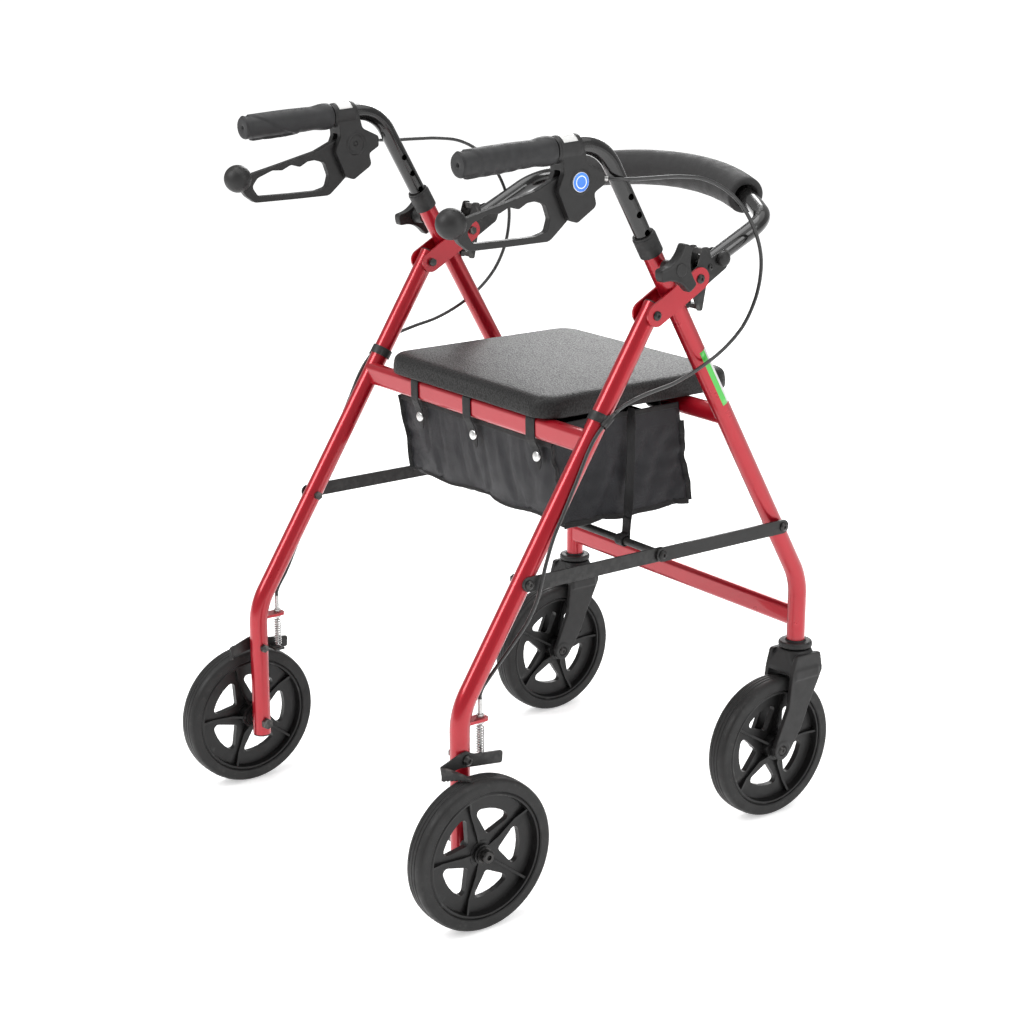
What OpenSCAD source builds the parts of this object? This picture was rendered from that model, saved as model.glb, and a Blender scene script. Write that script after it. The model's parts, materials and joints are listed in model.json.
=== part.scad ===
/* [Frame] */
// Distance from the centre plane to each leg's centre line
leg_x = 248; // [247:0.5:249]
// Outside diameter of the leg tubes
leg_d = 25.4; // [25.2:0.1:25.4]
// Wall thickness of the leg tubes
leg_wall = 1.5; // [1.3:0.1:1.5]
// Centre-line radius of the bends in the legs
leg_bend = 90; // [70:5:110]
// Height of the lower end of the front leg tubes
front_end_z = 246; // [244:1:246]
// Height of the lower end of the rear leg tubes
rear_end_z = 82; // [80:1:86]
// Height of the crossbar section
bar_h = 30; // [28:1:32]
// Depth of the crossbar section
bar_t = 19; // [16:1:20]

/* [Wheels] */
// Tyre diameter
wheel_d = 200; // [196:1:200]
// Tyre width
wheel_w = 33; // [28:1:33]
// Radius where the tyre meets the rim
rim_r = 83; // [80:1:84]
// Distance of the rear wheel's centre from the centre plane
rear_wheel_x = 288.6; // [288:0.1:289]
// Trail of the front casters
trail = 44; // [40:1:46]

/* [Handles] */
// Outside diameter of the handle tubes
handle_d = 22.2; // [22:0.05:22.2]
// Wall thickness of the handle tubes
handle_wall = 1.5; // [1:0.1:2]
// Distance between the height holes
hole_pitch = 26.7; // [25:0.1:28]
// Number of height holes
hole_n = 7; // [5:1:8]
// Radius of the ball at the end of the brake lever
ball_r = 18.5; // [16:0.5:18.5]
// Length of the grip
grip_l = 132; // [125:1:134]

/* [Seat] */
// Seat width
seat_w = 368; // [350:1:370]
// Seat depth
seat_l = 324; // [310:1:326]
// Seat thickness
seat_t = 30; // [24:1:30]
// Height of the seat's top face
seat_z = 630; // [628:1:632]
// Radius of the seat's corners in plan
seat_corner = 32; // [24:1:40]

/* [Bag] */
// Bag width
bag_w = 350; // [330:1:352]
// Height of the bag's bottom
bag_z = 452; // [450:1:470]

/* [Backrest] */
// Outside diameter of the backrest tube
back_d = 22; // [20:0.5:22]
// Outside diameter of the foam sleeve
foam_d = 49; // [44:1:52]
// Half the length of the foam sleeve
foam_half = 170; // [150:5:180]

/* [Folding links] */
// Length of each link between its pivots
link_l = 211.5; // [211.5:0.5:211.5]
// Width of the link bars
link_h = 19; // [16:1:22]

/* [Hidden] */
$fn = 48;

leg_r = leg_d / 2;
hr = handle_d / 2;
plate_gap = leg_r + 0.3;          // inner face of the hinge plates from the leg plane
wheel_r = wheel_d / 2;
axle_z = wheel_r;

// Points are [y, z] in the leg plane; -Y is the direction of travel, +X is the user's left.
lu = [0.49828, 0.86702];          // unit vector up the front leg
ln = [0.86702, -0.49828];         // unit vector square to it, towards the rear
function fl(z) = [-18.1 - 0.5747 * (835.8 - z), z];
function rl(z) = [-30 + 0.6304 * (735 - z), z];
front_top = fl(828);
front_v = [-306, 335];
front_bot = [-306, front_end_z];
rear_piv = [-30, 735];
back_piv = [-100, 774];
rear_top = [-37, 746];
rear_v = [262, 271.5];
rear_bot = [262, rear_end_z];
rear_ax = [262, axle_z];
cast_ax = [-306 + trail, axle_z];
stem_y = -306;
knob_c = fl(795);
// folding links
lk_rear = [167, 422.5];
lk_mid = [-44.5, 422.5];
lk_front = [-256, 422.5];
// crossbars
cb_rear = [65.3, 584];
cb_up = [-161.7, 586];
cb_low = [-305, 281];
// handle
hv = [49, 952.5];                 // vertex of the handle bend
gd = [0.9982, -0.0599];           // direction of the grip
g0 = hv + 78.5 * gd;              // front end of the grip
g1 = g0 + grip_l * gd;
lev_piv = [91.5, 909.6];
arm_piv = [262, 214];
// backrest plane
bk_a = 154.36;
bk_o = [-100, 777.4];
bk_R = 437;
bk_c = -225.1;
bk_rc = 45;
bk_cx = leg_x - bk_rc;
bk_cy = bk_c + sqrt(pow(bk_R - bk_rc, 2) - pow(bk_cx, 2));
bk_ang = atan2(bk_cy - bk_c, bk_cx);

// Route of the left brake cable, [x, y, z]; the right one is its mirror image
cable_route = [[255.1, 43.7, 909.6], [257.6, 40, 909.2], [260.6, 34.2, 908.6], [262.4, 27, 908], [263.2, 15, 907.3], [263.4, 0, 906.6],
  [263.6, -30, 906], [264, -64, 904.5], [265, -100, 899], [267, -132, 885], [268.5, -160, 863], [270, -182, 832],
  [271, -194, 800], [271.5, -195, 770], [271, -187, 738], [270, -168, 706], [268, -138, 680], [266, -100, 660],
  [265, -60, 646], [264.2, -22, 639], [263.9, 10, 631.5], [263.9, 35.2, 620.6], [263.9, 60.2, 600.2], [263.9, 76, 579],
  [263.9, 92, 548], [264, 112, 510], [265, 130, 478], [268, 144, 448], [269.4, 152, 425], [268.8, 159, 402],
  [265, 172, 374], [258, 192, 344], [251, 212, 316], [248.4, 226, 298], [248, 230.5, 289], [248, 231, 283]];

function unit(v) = v / norm(v);
// Rounded polygon corner
function crn(p0, p1, p2, r, n) = let(a = unit(p0 - p1), b = unit(p2 - p1), h = acos(max(-1, min(1, a * b))) / 2,
    d = r / tan(h), c = p1 + unit(a + b) * (r / sin(h)), s = p1 + a * d - c, e = p1 + b * d - c,
    a0 = atan2(s[1], s[0]), a1 = atan2(e[1], e[0]), da = ((a1 - a0 + 540) % 360) - 180)
    [for (i = [0:n]) c + r * [cos(a0 + da * i / n), sin(a0 + da * i / n)]];
function rp(p, r, n = 5) = let(m = len(p)) [for (i = [0:m - 1])
    each crn(p[(i + m - 1) % m], p[i], p[(i + 1) % m], is_list(r) ? r[i] : r, n)];

// Outline of a bar with round ends
function pill(a, b, r, n = 14) = let(t = atan2(b[1] - a[1], b[0] - a[0])) concat(
    [for (i = [0:n]) b + r * [cos(t - 90 + 180 * i / n), sin(t - 90 + 180 * i / n)]],
    [for (i = [0:n]) a + r * [cos(t + 90 + 180 * i / n), sin(t + 90 + 180 * i / n)]]);
// Catmull-Rom point on a route
function cr(a, b, c, d, t) = 0.5 * ((2 * b) + (c - a) * t + (2 * a - 5 * b + 4 * c - d) * t * t
    + (3 * b - a - 3 * c + d) * t * t * t);
function spline(p, k) = let(m = len(p)) concat([for (i = [0:m - 2]) for (j = [0:k - 1])
    cr(p[max(0, i - 1)], p[i], p[i + 1], p[min(m - 1, i + 2)], j / k)], [p[m - 1]]);
// Swept tube of round section along a list of points
module sweep(p, r, sides = 8, ref = [1, 0.02, 0.03]) {
  m = len(p);
  pts = [for (i = [0:m - 1]) let(t = unit(p[min(m - 1, i + 1)] - p[max(0, i - 1)]),
      u = unit(cross(t, ref)), v = cross(t, u))
      for (j = [0:sides - 1]) p[i] + r * (u * cos(j * 360 / sides) + v * sin(j * 360 / sides))];
  faces = concat([[for (j = [0:sides - 1]) j]],
    [for (i = [0:m - 2]) for (j = [0:sides - 1]) each [[i * sides + j, (i + 1) * sides + j, (i + 1) * sides + (j + 1) % sides],
      [i * sides + j, (i + 1) * sides + (j + 1) % sides, i * sides + (j + 1) % sides]]],
    [[for (j = [sides - 1:-1:0]) (m - 1) * sides + j]]);
  polyhedron(points = pts, faces = faces, convexity = 6);
}

// Mirrors its children to the right-hand side of the object when s is -1
module lr(s) { if (s < 0) mirror([1, 0, 0]) children(); else children(); }
// Extrudes a [y, z] outline between two x positions
module yz(x0, x1) translate([x0, 0, 0]) rotate([90, 0, 90]) linear_extrude(x1 - x0) children();
// Cylinder along X
module xc(r, x0, x1, p) translate([x0, p[0], p[1]]) rotate([0, 90, 0]) cylinder(r = r, h = x1 - x0);
// Cone along X
module xcone(r0, r1, x0, x1, p) translate([x0, p[0], p[1]]) rotate([0, 90, 0]) cylinder(r1 = r0, r2 = r1, h = x1 - x0);
// Rod between two [y, z] points at one x
module rod(x, a, b, r) { d = b - a; translate([x, a[0], a[1]]) rotate([-atan2(d[0], d[1]), 0, 0]) cylinder(r = r, h = norm(d)); }
// Bent tube through three points with one bend
module bent(x, a, v, b, R, r) {
  ua = unit(a - v); ub = unit(b - v); h = acos(ua * ub) / 2; t = R / tan(h);
  c = v + unit(ua + ub) * (R / sin(h)); s = v + ua * t; e = v + ub * t;
  a0 = atan2((s - c)[1], (s - c)[0]); a1 = atan2((e - c)[1], (e - c)[0]);
  da = ((a1 - a0 + 540) % 360) - 180; st = da > 0 ? a0 : a0 + da;
  da2 = 0.6 * 57.3 / R;            // the bend laps a little over each straight
  rod(x, a, s - ua * 0.3, r);
  rod(x, e - ub * 0.3, b, r);
  translate([x, c[0], c[1]]) rotate([90, 0, 90]) rotate([0, 0, st - da2]) rotate_extrude(angle = abs(da) + 2 * da2) translate([R, 0]) circle(r = r + 0.08);
}
// Button-head bolt head with a hexagon socket, sitting on x = x0 and facing +X
module head(x0, p, r = 6, h = 3.2) difference() {
  union() { xc(r, x0, x0 + h * 0.45, p); xcone(r, r * 0.62, x0 + h * 0.45, x0 + h, p); }
  translate([x0 + h - 1.5, p[0], p[1]]) rotate([0, 90, 0]) cylinder(r = r * 0.36, h = 3, $fn = 6);
}
// Hexagon nut facing -X, ending at x = x0
module nut(x0, p, r = 6, h = 5) translate([x0 - h, p[0], p[1]]) rotate([0, 90, 0]) cylinder(r = r, h = h, $fn = 6);

// ---------------------------------------------------------------- frame
module front_path(r, e = 0) bent(leg_x, front_top + e * lu, front_v, front_bot - [0, e], leg_bend, r);
module rear_path(r, e = 0) bent(leg_x, rear_top + e * unit(rear_top - rear_v), rear_v, rear_bot - [0, e], leg_bend, r);

module front_leg(s) color("crimson") lr(s) difference() {
  union() {
    front_path(leg_r);
    xc(7.5, leg_x + 8, leg_x + leg_r + 2.4, knob_c);
  }
  front_path(leg_r - leg_wall, 2);
  xc(4.1, leg_x, leg_x + 20, knob_c);
  xc(3.05, leg_x - 20, leg_x + 20, lk_front);
}

module rear_leg(s) color("crimson") lr(s) {
  difference() {
    rear_path(leg_r);
    rear_path(leg_r - leg_wall, 2);
    xc(3.1, leg_x - 20, leg_x + 20, rear_piv);
    xc(3.05, leg_x - 20, leg_x + 20, lk_rear);
    xc(5.05, leg_x - 20, leg_x + 20, rear_ax);
    xc(3.05, leg_x - 20, leg_x + 20, arm_piv);
  }
  // welded cable tab on the front of the leg
  difference() {
    translate([leg_x, 0, 255]) linear_extrude(4) polygon(rp([[-9, 257], [-9, 222], [9, 222], [9, 257]], [1, 6, 6, 1]));
    translate([leg_x, 231, 250]) cylinder(r = 3.2, h = 12);
    translate([leg_x, 262, 250]) cylinder(r = leg_r - 0.8, h = 12);
  }
}

module bar_outline(d = 0) polygon(rp([for (p = [[-1, -1], [1, -1], [1, 1], [-1, 1]]) [p[0] * (bar_t / 2 - d), p[1] * (bar_h / 2 - d)]], 7.5 - d, 6));
module crossbar(p, tilt = 0) translate([0, p[0], p[1]]) rotate([tilt, 0, 0]) rotate([90, 0, 90])
  translate([0, 0, -leg_x]) linear_extrude(2 * leg_x) difference() { bar_outline(); bar_outline(1.6); }

module lower_crossbar() color("crimson") difference() {
  crossbar(cb_low);
  for (s = [-1, 1]) lr(s) front_path(leg_r);
}
module upper_crossbar() color("crimson") difference() {
  xc(leg_r, -leg_x, leg_x, cb_up);
  xc(leg_r - leg_wall, -leg_x - 1, leg_x + 1, cb_up);
  for (s = [-1, 1]) lr(s) front_path(leg_r);
}
module rear_crossbar() color("crimson") difference() {
  crossbar(cb_rear);
  for (s = [-1, 1]) lr(s) rear_path(leg_r);
}

module hinge_plates() color("firebrick") for (s = [-1, 1]) lr(s) for (k = [-1, 1]) difference() {
  union() {
    yz(k > 0 ? leg_x + plate_gap : leg_x - plate_gap - 3, k > 0 ? leg_x + plate_gap + 3 : leg_x - plate_gap)
      polygon(pill(rear_piv, back_piv, 14.5));
    // weld between the plate and the tube
    xc(9, k > 0 ? leg_x + 6 : leg_x - plate_gap - 1, k > 0 ? leg_x + plate_gap + 1 : leg_x - 6, fl(754.5));
  }
  rod(leg_x, fl(700), fl(810), leg_r);
  for (p = [rear_piv, back_piv]) xc(3.05, leg_x - 25, leg_x + 25, p);
}

module tube_collars() color([0.08, 0.08, 0.08]) for (s = [-1, 1]) lr(s) difference() {
  union() {
    rod(leg_x, fl(811), fl(833.5), 15.3);
    rod(leg_x, fl(820), fl(836), 14.3);
  }
  rod(leg_x, fl(800), front_top, leg_r);
  rod(leg_x, fl(800), fl(845), hr + 0.1);
}

module front_frame_bolts() color([0.12, 0.12, 0.12]) for (s = [-1, 1]) lr(s) {
  for (p = [rear_piv, back_piv]) {
    xc(3, leg_x - plate_gap - 3, leg_x + plate_gap + 3, p);
    head(leg_x + plate_gap + 3, p, 6);
    nut(leg_x - plate_gap - 3, p, 6, 5);
  }
  xc(3, leg_x - leg_r, leg_x + 19.8, lk_front);
  head(leg_x + 19.8, lk_front, 6);
  nut(leg_x - leg_r, lk_front, 6, 5);
}

module caster_stems() color("silver") for (s = [-1, 1]) lr(s) translate([leg_x, stem_y, 0]) {
  translate([0, 0, 200]) cylinder(r = 6, h = 88);
  translate([0, 0, 196]) cylinder(r = 9, h = 4);
  translate([0, 0, 288]) cylinder(r = 9, h = 6, $fn = 6);
}
module stem_caps() color([0.1, 0.1, 0.1]) for (s = [-1, 1]) lr(s) translate([leg_x, stem_y, 0]) rotate_extrude()
  polygon([[6, 236.5], [20, 236.5], [20.8, 237.6], [22.6, 238], [23.4, 239.2], [23.4, 243], [22.2, 245.2], [20, 246],
    [leg_r + 1.6, 246], [leg_r + 1.6, 248], [leg_r, 248], [leg_r, 246], [leg_r - leg_wall, 246], [leg_r - leg_wall, 286], [6, 286]]);

module leg_plugs() color([0.1, 0.1, 0.1]) for (s = [-1, 1]) lr(s) difference() {
  union() {
    rod(leg_x, rear_top - unit(rear_v - rear_top), rear_top + 18 * unit(rear_v - rear_top), leg_r - leg_wall);
    rod(leg_x, rear_top - 1.6 * unit(rear_v - rear_top), rear_top, leg_r - 0.6);
    translate([leg_x, 262, rear_end_z - 1]) cylinder(r = leg_r - leg_wall, h = 9);
    translate([leg_x, 262, rear_end_z - 2]) cylinder(r = leg_r - 0.3, h = 2);
  }
  xc(3.1, leg_x - 20, leg_x + 20, rear_piv);
}

// ---------------------------------------------------------------- wheels
module tyre_shape(w) rotate([0, 90, 0]) rotate_extrude($fn = 96) {
  h = w / 2; R = wheel_r;
  polygon([[rim_r, -h + 1.5], [rim_r + 1.5, -h], [R - 7, -h], [R - 3, -h + 1.2], [R - 1, -h + 4],
    [R - 0.3, -h + 8.2], [R - 1.2, -h + 8.6], [R - 1.2, -h + 9.6], [R - 0.15, -h + 10],
    [R, -2.2], [R - 1, -1.8], [R - 1, -0.7], [R, -0.3], [R, 3.4], [R - 1, 3.8], [R - 1, 4.8],
    [R - 0.15, 5.2], [R - 0.3, h - 8], [R - 1, h - 4], [R - 3, h - 1.2], [R - 7, h], [rim_r + 1.5, h], [rim_r, h - 1.5]]);
}
module window(a) rotate(a) polygon(rp([[25, 0], [60.5 * cos(30), -60.5 * sin(30)], [61.5, 0], [60.5 * cos(30), 60.5 * sin(30)]], [4, 6, 60, 6], 4));
// hub from x = h0 to h1, ribs on both faces
module rim_shape(w, h0, h1, bore) difference() {
  union() {
    rotate([0, 90, 0]) rotate_extrude($fn = 96) {
      h = w / 2;
      polygon([[78.6, -h + 0.6], [80.4, -h + 0.2], [rim_r, -h + 1.5], [rim_r, h - 1.5], [80.4, h - 0.2], [78.6, h - 0.6],
        [77.2, 5], [63, 4.2], [63, -4.2], [77.2, -5]]);
    }
    difference() {
      translate([-4.2, 0, 0]) rotate([0, 90, 0]) cylinder(r = 66, h = 8.4, $fn = 96);
      rotate([0, 90, 0]) translate([0, 0, -6]) linear_extrude(12) for (i = [0:4]) window(i * 72 + 36);
    }
    // collar round the windows and ribs along the spokes
    for (i = [0:4]) rotate([i * 72, 0, 0]) rotate([90, 0, 0]) translate([0, 0, -1.6]) linear_extrude(3.2)
      polygon([[h0 + 3, -8], [h1 - 3, -8], [h1 - 3, -14], [w / 2 - 7, -30], [w / 2 - 8, -60], [w / 2 - 3, -79], [-w / 2 + 3, -79],
        [-w / 2 + 8, -60], [-w / 2 + 7, -30], [h0 + 3, -14]]);
    translate([h0, 0, 0]) rotate([0, 90, 0]) cylinder(r = 13, h = h1 - h0);
    translate([h0 + 4, 0, 0]) rotate([0, 90, 0]) cylinder(r = 17, h = h1 - h0 - 8);
  }
  translate([h0 - 5, 0, 0]) rotate([0, 90, 0]) cylinder(r = bore, h = h1 - h0 + 10);
}
module rear_rim(s) color([0.16, 0.16, 0.16]) lr(s) translate([rear_wheel_x, rear_ax[0], rear_ax[1]]) rotate([20, 0, 0]) rim_shape(wheel_w - 2, -22, 9, 5.05);
module rear_tyre(s) color([0.22, 0.22, 0.22]) lr(s) translate([rear_wheel_x, rear_ax[0], rear_ax[1]]) tyre_shape(wheel_w);
module caster_rim(s) color([0.16, 0.16, 0.16]) lr(s) translate([leg_x, cast_ax[0], cast_ax[1]]) rotate([50, 0, 0]) rim_shape(wheel_w - 2, -20, 20, 4.05);
module caster_tyre(s) color([0.22, 0.22, 0.22]) lr(s) translate([leg_x, cast_ax[0], cast_ax[1]]) tyre_shape(wheel_w);

module rear_axles() for (s = [-1, 1]) lr(s) {
  color("silver") {
    xc(5, leg_x - leg_r - 1, rear_wheel_x + 10, rear_ax);
    difference() {
      xc(8, leg_x + 8, rear_wheel_x - 22.4, rear_ax);
      rear_path(leg_r);
    }
    nut(leg_x - leg_r, rear_ax, 8, 6);
    xc(10, rear_wheel_x + 9.4, rear_wheel_x + 11.4, rear_ax);
  }
  color([0.1, 0.1, 0.1]) difference() {
    union() {
      xc(8.2, rear_wheel_x + 11.4, rear_wheel_x + 20, rear_ax);
      xcone(8.2, 6.6, rear_wheel_x + 20, rear_wheel_x + 21.5, rear_ax);
    }
    xc(3.4, rear_wheel_x + 18, rear_wheel_x + 24, rear_ax);
  }
}

// Fork: a crown round the stem, two raked legs down to the axle
fk_side = [[-284, 232], [-277.5, 208], [-276, 196], [-272, 160], [-248, 104], [-250, 88], [-266, 85], [-277, 96], [-296, 124],
  [-311, 160], [-326, 190], [-333, 206], [-328, 232]];
module caster_fork(s) color([0.14, 0.14, 0.14]) lr(s) difference() {
  translate([leg_x, 0, 0]) union() {
    // crown
    hull() {
      translate([0, stem_y, 229]) cylinder(r1 = 22.6, r2 = 22, h = 6.8, $fn = 32);
      for (k = [-1, 1]) for (y = [-323, -284]) translate([k * 23.5, y, 198]) cylinder(r = 6, h = 12, $fn = 32);
    }
    // legs
    for (k = [-1, 1]) yz(k > 0 ? 21 : -28, k > 0 ? 28 : -21)
      polygon(rp(fk_side, [4, 10, 10, 20, 10, 12, 10, 10, 20, 20, 12, 12, 4], 4));
    for (k = [-1, 1]) xc(13, k > 0 ? 21 : -29, k > 0 ? 29 : -21, cast_ax);
  }
  // wheel space, axle and stem holes
  translate([leg_x, 0, 0]) {
    yz(-21, 21) polygon([[-345, 60], [-200, 60], [-200, 200], [-345, 200]]);
    xc(wheel_r + 5, -21, 21, cast_ax);
    xc(4.05, -40, 40, cast_ax);
    for (k = [-1, 1]) xc(7.2, k > 0 ? 26.5 : -40, k > 0 ? 40 : -26.5, cast_ax);
    translate([0, stem_y, 190]) cylinder(r = 6.05, h = 60);
    translate([0, stem_y, 180]) cylinder(r = 11, h = 22);
  }
}
module caster_axle(s) color([0.12, 0.12, 0.12]) lr(s) translate([leg_x, 0, 0]) {
  xc(4, -27, 27, cast_ax);
  head(26.5, cast_ax, 6.6, 3.4);
  mirror([1, 0, 0]) head(26.5, cast_ax, 6.6, 3.4);
}

// ---------------------------------------------------------------- handles
module handle_path(r, e = 0) bent(leg_x, fl(690) - e * lu, hv, g1 - (4 - e) * gd, 55, r);
module handle_tube(s) color([0.08, 0.08, 0.08]) lr(s) difference() {
  handle_path(hr);
  handle_path(hr - handle_wall, 2);
  for (i = [0:hole_n - 1]) xc(4.2, leg_x - 20, leg_x + 20, fl(885.2) - i * hole_pitch * lu);
}
// Grip profile: [distance along the grip, radius]
grip_prof = [[0, 14.2], [1.5, 16.4], [5, 17.2], [12, 17.4], [20, 16.4], [30, 14.6], [38, 14.3], [48, 15], [60, 16], [72, 16.4], [84, 16.2],
  [96, 15.8], [108, 15.6], [118, 15.8], [124, 17.2], [127, 18.2], [130, 18.2], [132, 16.5]];
module grip(s) color([0.15, 0.15, 0.16]) lr(s) difference() {
  translate([leg_x, g0[0], g0[1]]) rotate([-atan2(gd[0], gd[1]), 0, 0]) rotate_extrude()
    polygon(concat([[0, 0]], [for (p = grip_prof) [p[1], p[0] * grip_l / 132]], [[0, grip_l]]));
  rod(leg_x, g0 - 2 * gd, g1 - 4 * gd, hr);
  rod(leg_x, g1 - 6 * gd, g1 + 2 * gd, 3.2);
}
hs_out = [[87, 957], [119, 955], [115.5, 921], [124, 902], [107, 865], [95, 861], [66, 879], [70, 895], [54, 904], [54, 918], [80, 930]];
module brake_housing(s) color([0.1, 0.1, 0.1]) lr(s) difference() {
  union() {
    yz(leg_x - 14, leg_x + 14) polygon(rp(hs_out, [3, 3, 10, 7, 7, 6, 7, 5, 4, 5, 8], 4));
    rod(leg_x, hv + 38.5 * gd, hv + 74.5 * gd, 15.6);
    rod(leg_x, hv + 42 * gd, hv + 71 * gd, 16.4);
    xc(14.6, leg_x - 15, leg_x + 15, lev_piv);
  }
  rod(leg_x, hv + 20 * gd, hv + 90 * gd, hr);
  yz(leg_x - 5.4, leg_x + 5.4) polygon([[76, 924], [140, 924], [140, 850], [84, 850], [76, 892]]);
  xc(3.05, leg_x - 30, leg_x + 30, lev_piv);
  for (k = [-1, 1]) xc(12.2, k > 0 ? leg_x + 14 : leg_x - 20, k > 0 ? leg_x + 20 : leg_x - 14, lev_piv);
  rod(leg_x, [74, 912.2], [44, 909.8], 1.6);
}
module cable_adjuster(s) color("silver") lr(s) translate([leg_x, 53.9, 910.9]) rotate([0, 0, 35]) translate([-leg_x, -53.9, -910.9]) difference() {
  union() {
    rod(leg_x, [53.9, 910.9], [42, 909.5], 3.2);
    rod(leg_x, [53.9, 910.9], [50, 910.4], 4.8);
    rod(leg_x, [44.6, 909.8], [42, 909.5], 3.8);
  }
}
module pivot_badge() color("royalblue") lr(-1) difference() {
  union() { xc(12, leg_x + 14, leg_x + 15.4, lev_piv); xcone(12, 10.8, leg_x + 15.4, leg_x + 16, lev_piv); }
}
lv_out = [[78, 897], [79, 917], [92, 922], [126, 913], [150, 902.5], [205, 889.5], [262, 876.5], [268, 862], [259, 850], [246, 840.5], [190, 840.5],
  [130, 841], [112, 856], [94, 872]];
lv_in = [[134, 853], [129.5, 868], [136, 886], [152, 890.5], [163, 889.5], [175, 883], [189, 887], [203, 880.5], [218, 881.5], [241, 873],
  [250, 862], [241, 849], [190, 848.5], [150, 849]];
module brake_lever(s) color([0.13, 0.13, 0.13]) lr(s) {
  difference() {
    yz(leg_x - 5, leg_x + 5) difference() {
      polygon(rp(lv_out, [6, 6, 6, 8, 20, 40, 3, 5, 12, 10, 30, 14, 12, 10], 4));
      polygon(rp(lv_in, [6, 8, 8, 6, 6, 5, 8, 5, 8, 8, 6, 8, 40, 20], 4));
    }
  }
  translate([leg_x, 269, 874]) sphere(r = ball_r);
  xc(3, leg_x - 13.8, leg_x + 13.8, lev_piv);
}
// Three-lobed height knob with its clamping screw
kn = 60;
module height_knob(s) color([0.1, 0.1, 0.1]) lr(s) {
  xc(4, leg_x + hr + 0.4, leg_x + 22, knob_c);
  xcone(9.5, 11, leg_x + 15.6, leg_x + 34, knob_c);
  translate([0, knob_c[0], knob_c[1]]) yz(leg_x + 34, leg_x + 47)
    polygon([for (i = [0:kn - 1]) let(a = i * 360 / kn, r = 12.5 + 21.5 * pow((1 + cos(3 * a)) / 2, 1.35)) [r * cos(a), r * sin(a)]]);
  xcone(12, 8, leg_x + 47, leg_x + 50, knob_c);
}

// ---------------------------------------------------------------- backrest
module back_plane() translate([0, bk_o[0], bk_o[1]]) rotate([bk_a, 0, 0]) children();
module back_path(r, e = 0) back_plane() {
  lap = 0.6 * 57.3 / bk_rc;
  for (k = [-1, 1]) translate([k * leg_x, 12 - e, 0]) rotate([-90, 0, 0]) cylinder(r = r, h = bk_cy - 12 + e + 0.3);
  for (k = [0, 1]) mirror([k, 0, 0]) translate([bk_cx, bk_cy, 0]) rotate([0, 0, -lap]) rotate_extrude(angle = bk_ang + 2 * lap) translate([bk_rc, 0]) circle(r = r + 0.08);
  translate([0, bk_c, 0]) rotate([0, 0, bk_ang - 0.04]) rotate_extrude(angle = 180.08 - 2 * bk_ang) translate([bk_R, 0]) circle(r = r);
}
module backrest_tube() color([0.08, 0.08, 0.08]) difference() {
  back_path(back_d / 2);
  back_path(back_d / 2 - 1.5, 3);
  for (s = [-1, 1]) lr(s) xc(3.1, leg_x, leg_x + 20, [-138, 795.6]);
  for (s = [-1, 1]) lr(s) xc(2.05, leg_x - 20, leg_x + 20, [-119, 786.5]);
}
module backrest_foam() color([0.2, 0.2, 0.21]) back_plane() translate([0, bk_c, 0]) rotate([0, 0, 90 - asin(foam_half / bk_R)])
  rotate_extrude(angle = 2 * asin(foam_half / bk_R), $fn = 96) translate([bk_R, 0]) difference() { circle(r = foam_d / 2); circle(r = back_d / 2); }
bk_out = [[-99, 733], [-107, 732], [-113, 764], [-146, 783], [-152, 798], [-145, 808], [-120, 798], [-116, 812], [-105, 813], [-98, 790], [-86, 781],
  [-86, 765]];
module backrest_brackets() color([0.13, 0.13, 0.13]) for (s = [-1, 1]) lr(s) {
  difference() {
    union() {
      for (k = [0, 1]) yz(k > 0 ? leg_x + 11.05 : leg_x - leg_r, k > 0 ? leg_x + leg_r : leg_x - 11.05)
        polygon(rp(bk_out, [3, 3, 4, 8, 6, 6, 2, 4, 4, 3, 6, 6], 4));
      // webs that tie the two cheeks together
      rod(leg_x, [-100, 737], [-108, 737], 0.01);
      yz(leg_x - 11.05, leg_x + 11.05) polygon([[-99, 735], [-106, 734.5], [-107, 741], [-99, 741]]);
      yz(leg_x - 11.05, leg_x + 11.05) polygon([[-114, 803.5], [-106, 803.5], [-106, 811], [-114, 810]]);
    }
    xc(3.1, leg_x - 20, leg_x + 20, back_piv);
    xc(2.05, leg_x - 20, leg_x + 20, [-119, 786.5]);
    xc(3.1, leg_x, leg_x + 20, [-138, 795.6]);
  }
  xc(2, leg_x - leg_r, leg_x + leg_r, [-119, 786.5]);
  head(leg_x + leg_r, [-119, 786.5], 4, 2);
}
module backrest_pin(s) color([0.14, 0.14, 0.14]) lr(s) {
  p = [-138, 795.6];
  xc(3, leg_x + 5, leg_x + 14, p);
  translate([leg_x + 13, p[0], p[1]]) rotate([0, 90, 0]) rotate_extrude()
    polygon([[0, 0], [8.6, 0], [9.4, 1], [9.4, 4.5], [8.6, 6.2], [6.6, 7.8], [3.6, 8.8], [0, 9.2]]);
}

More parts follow.
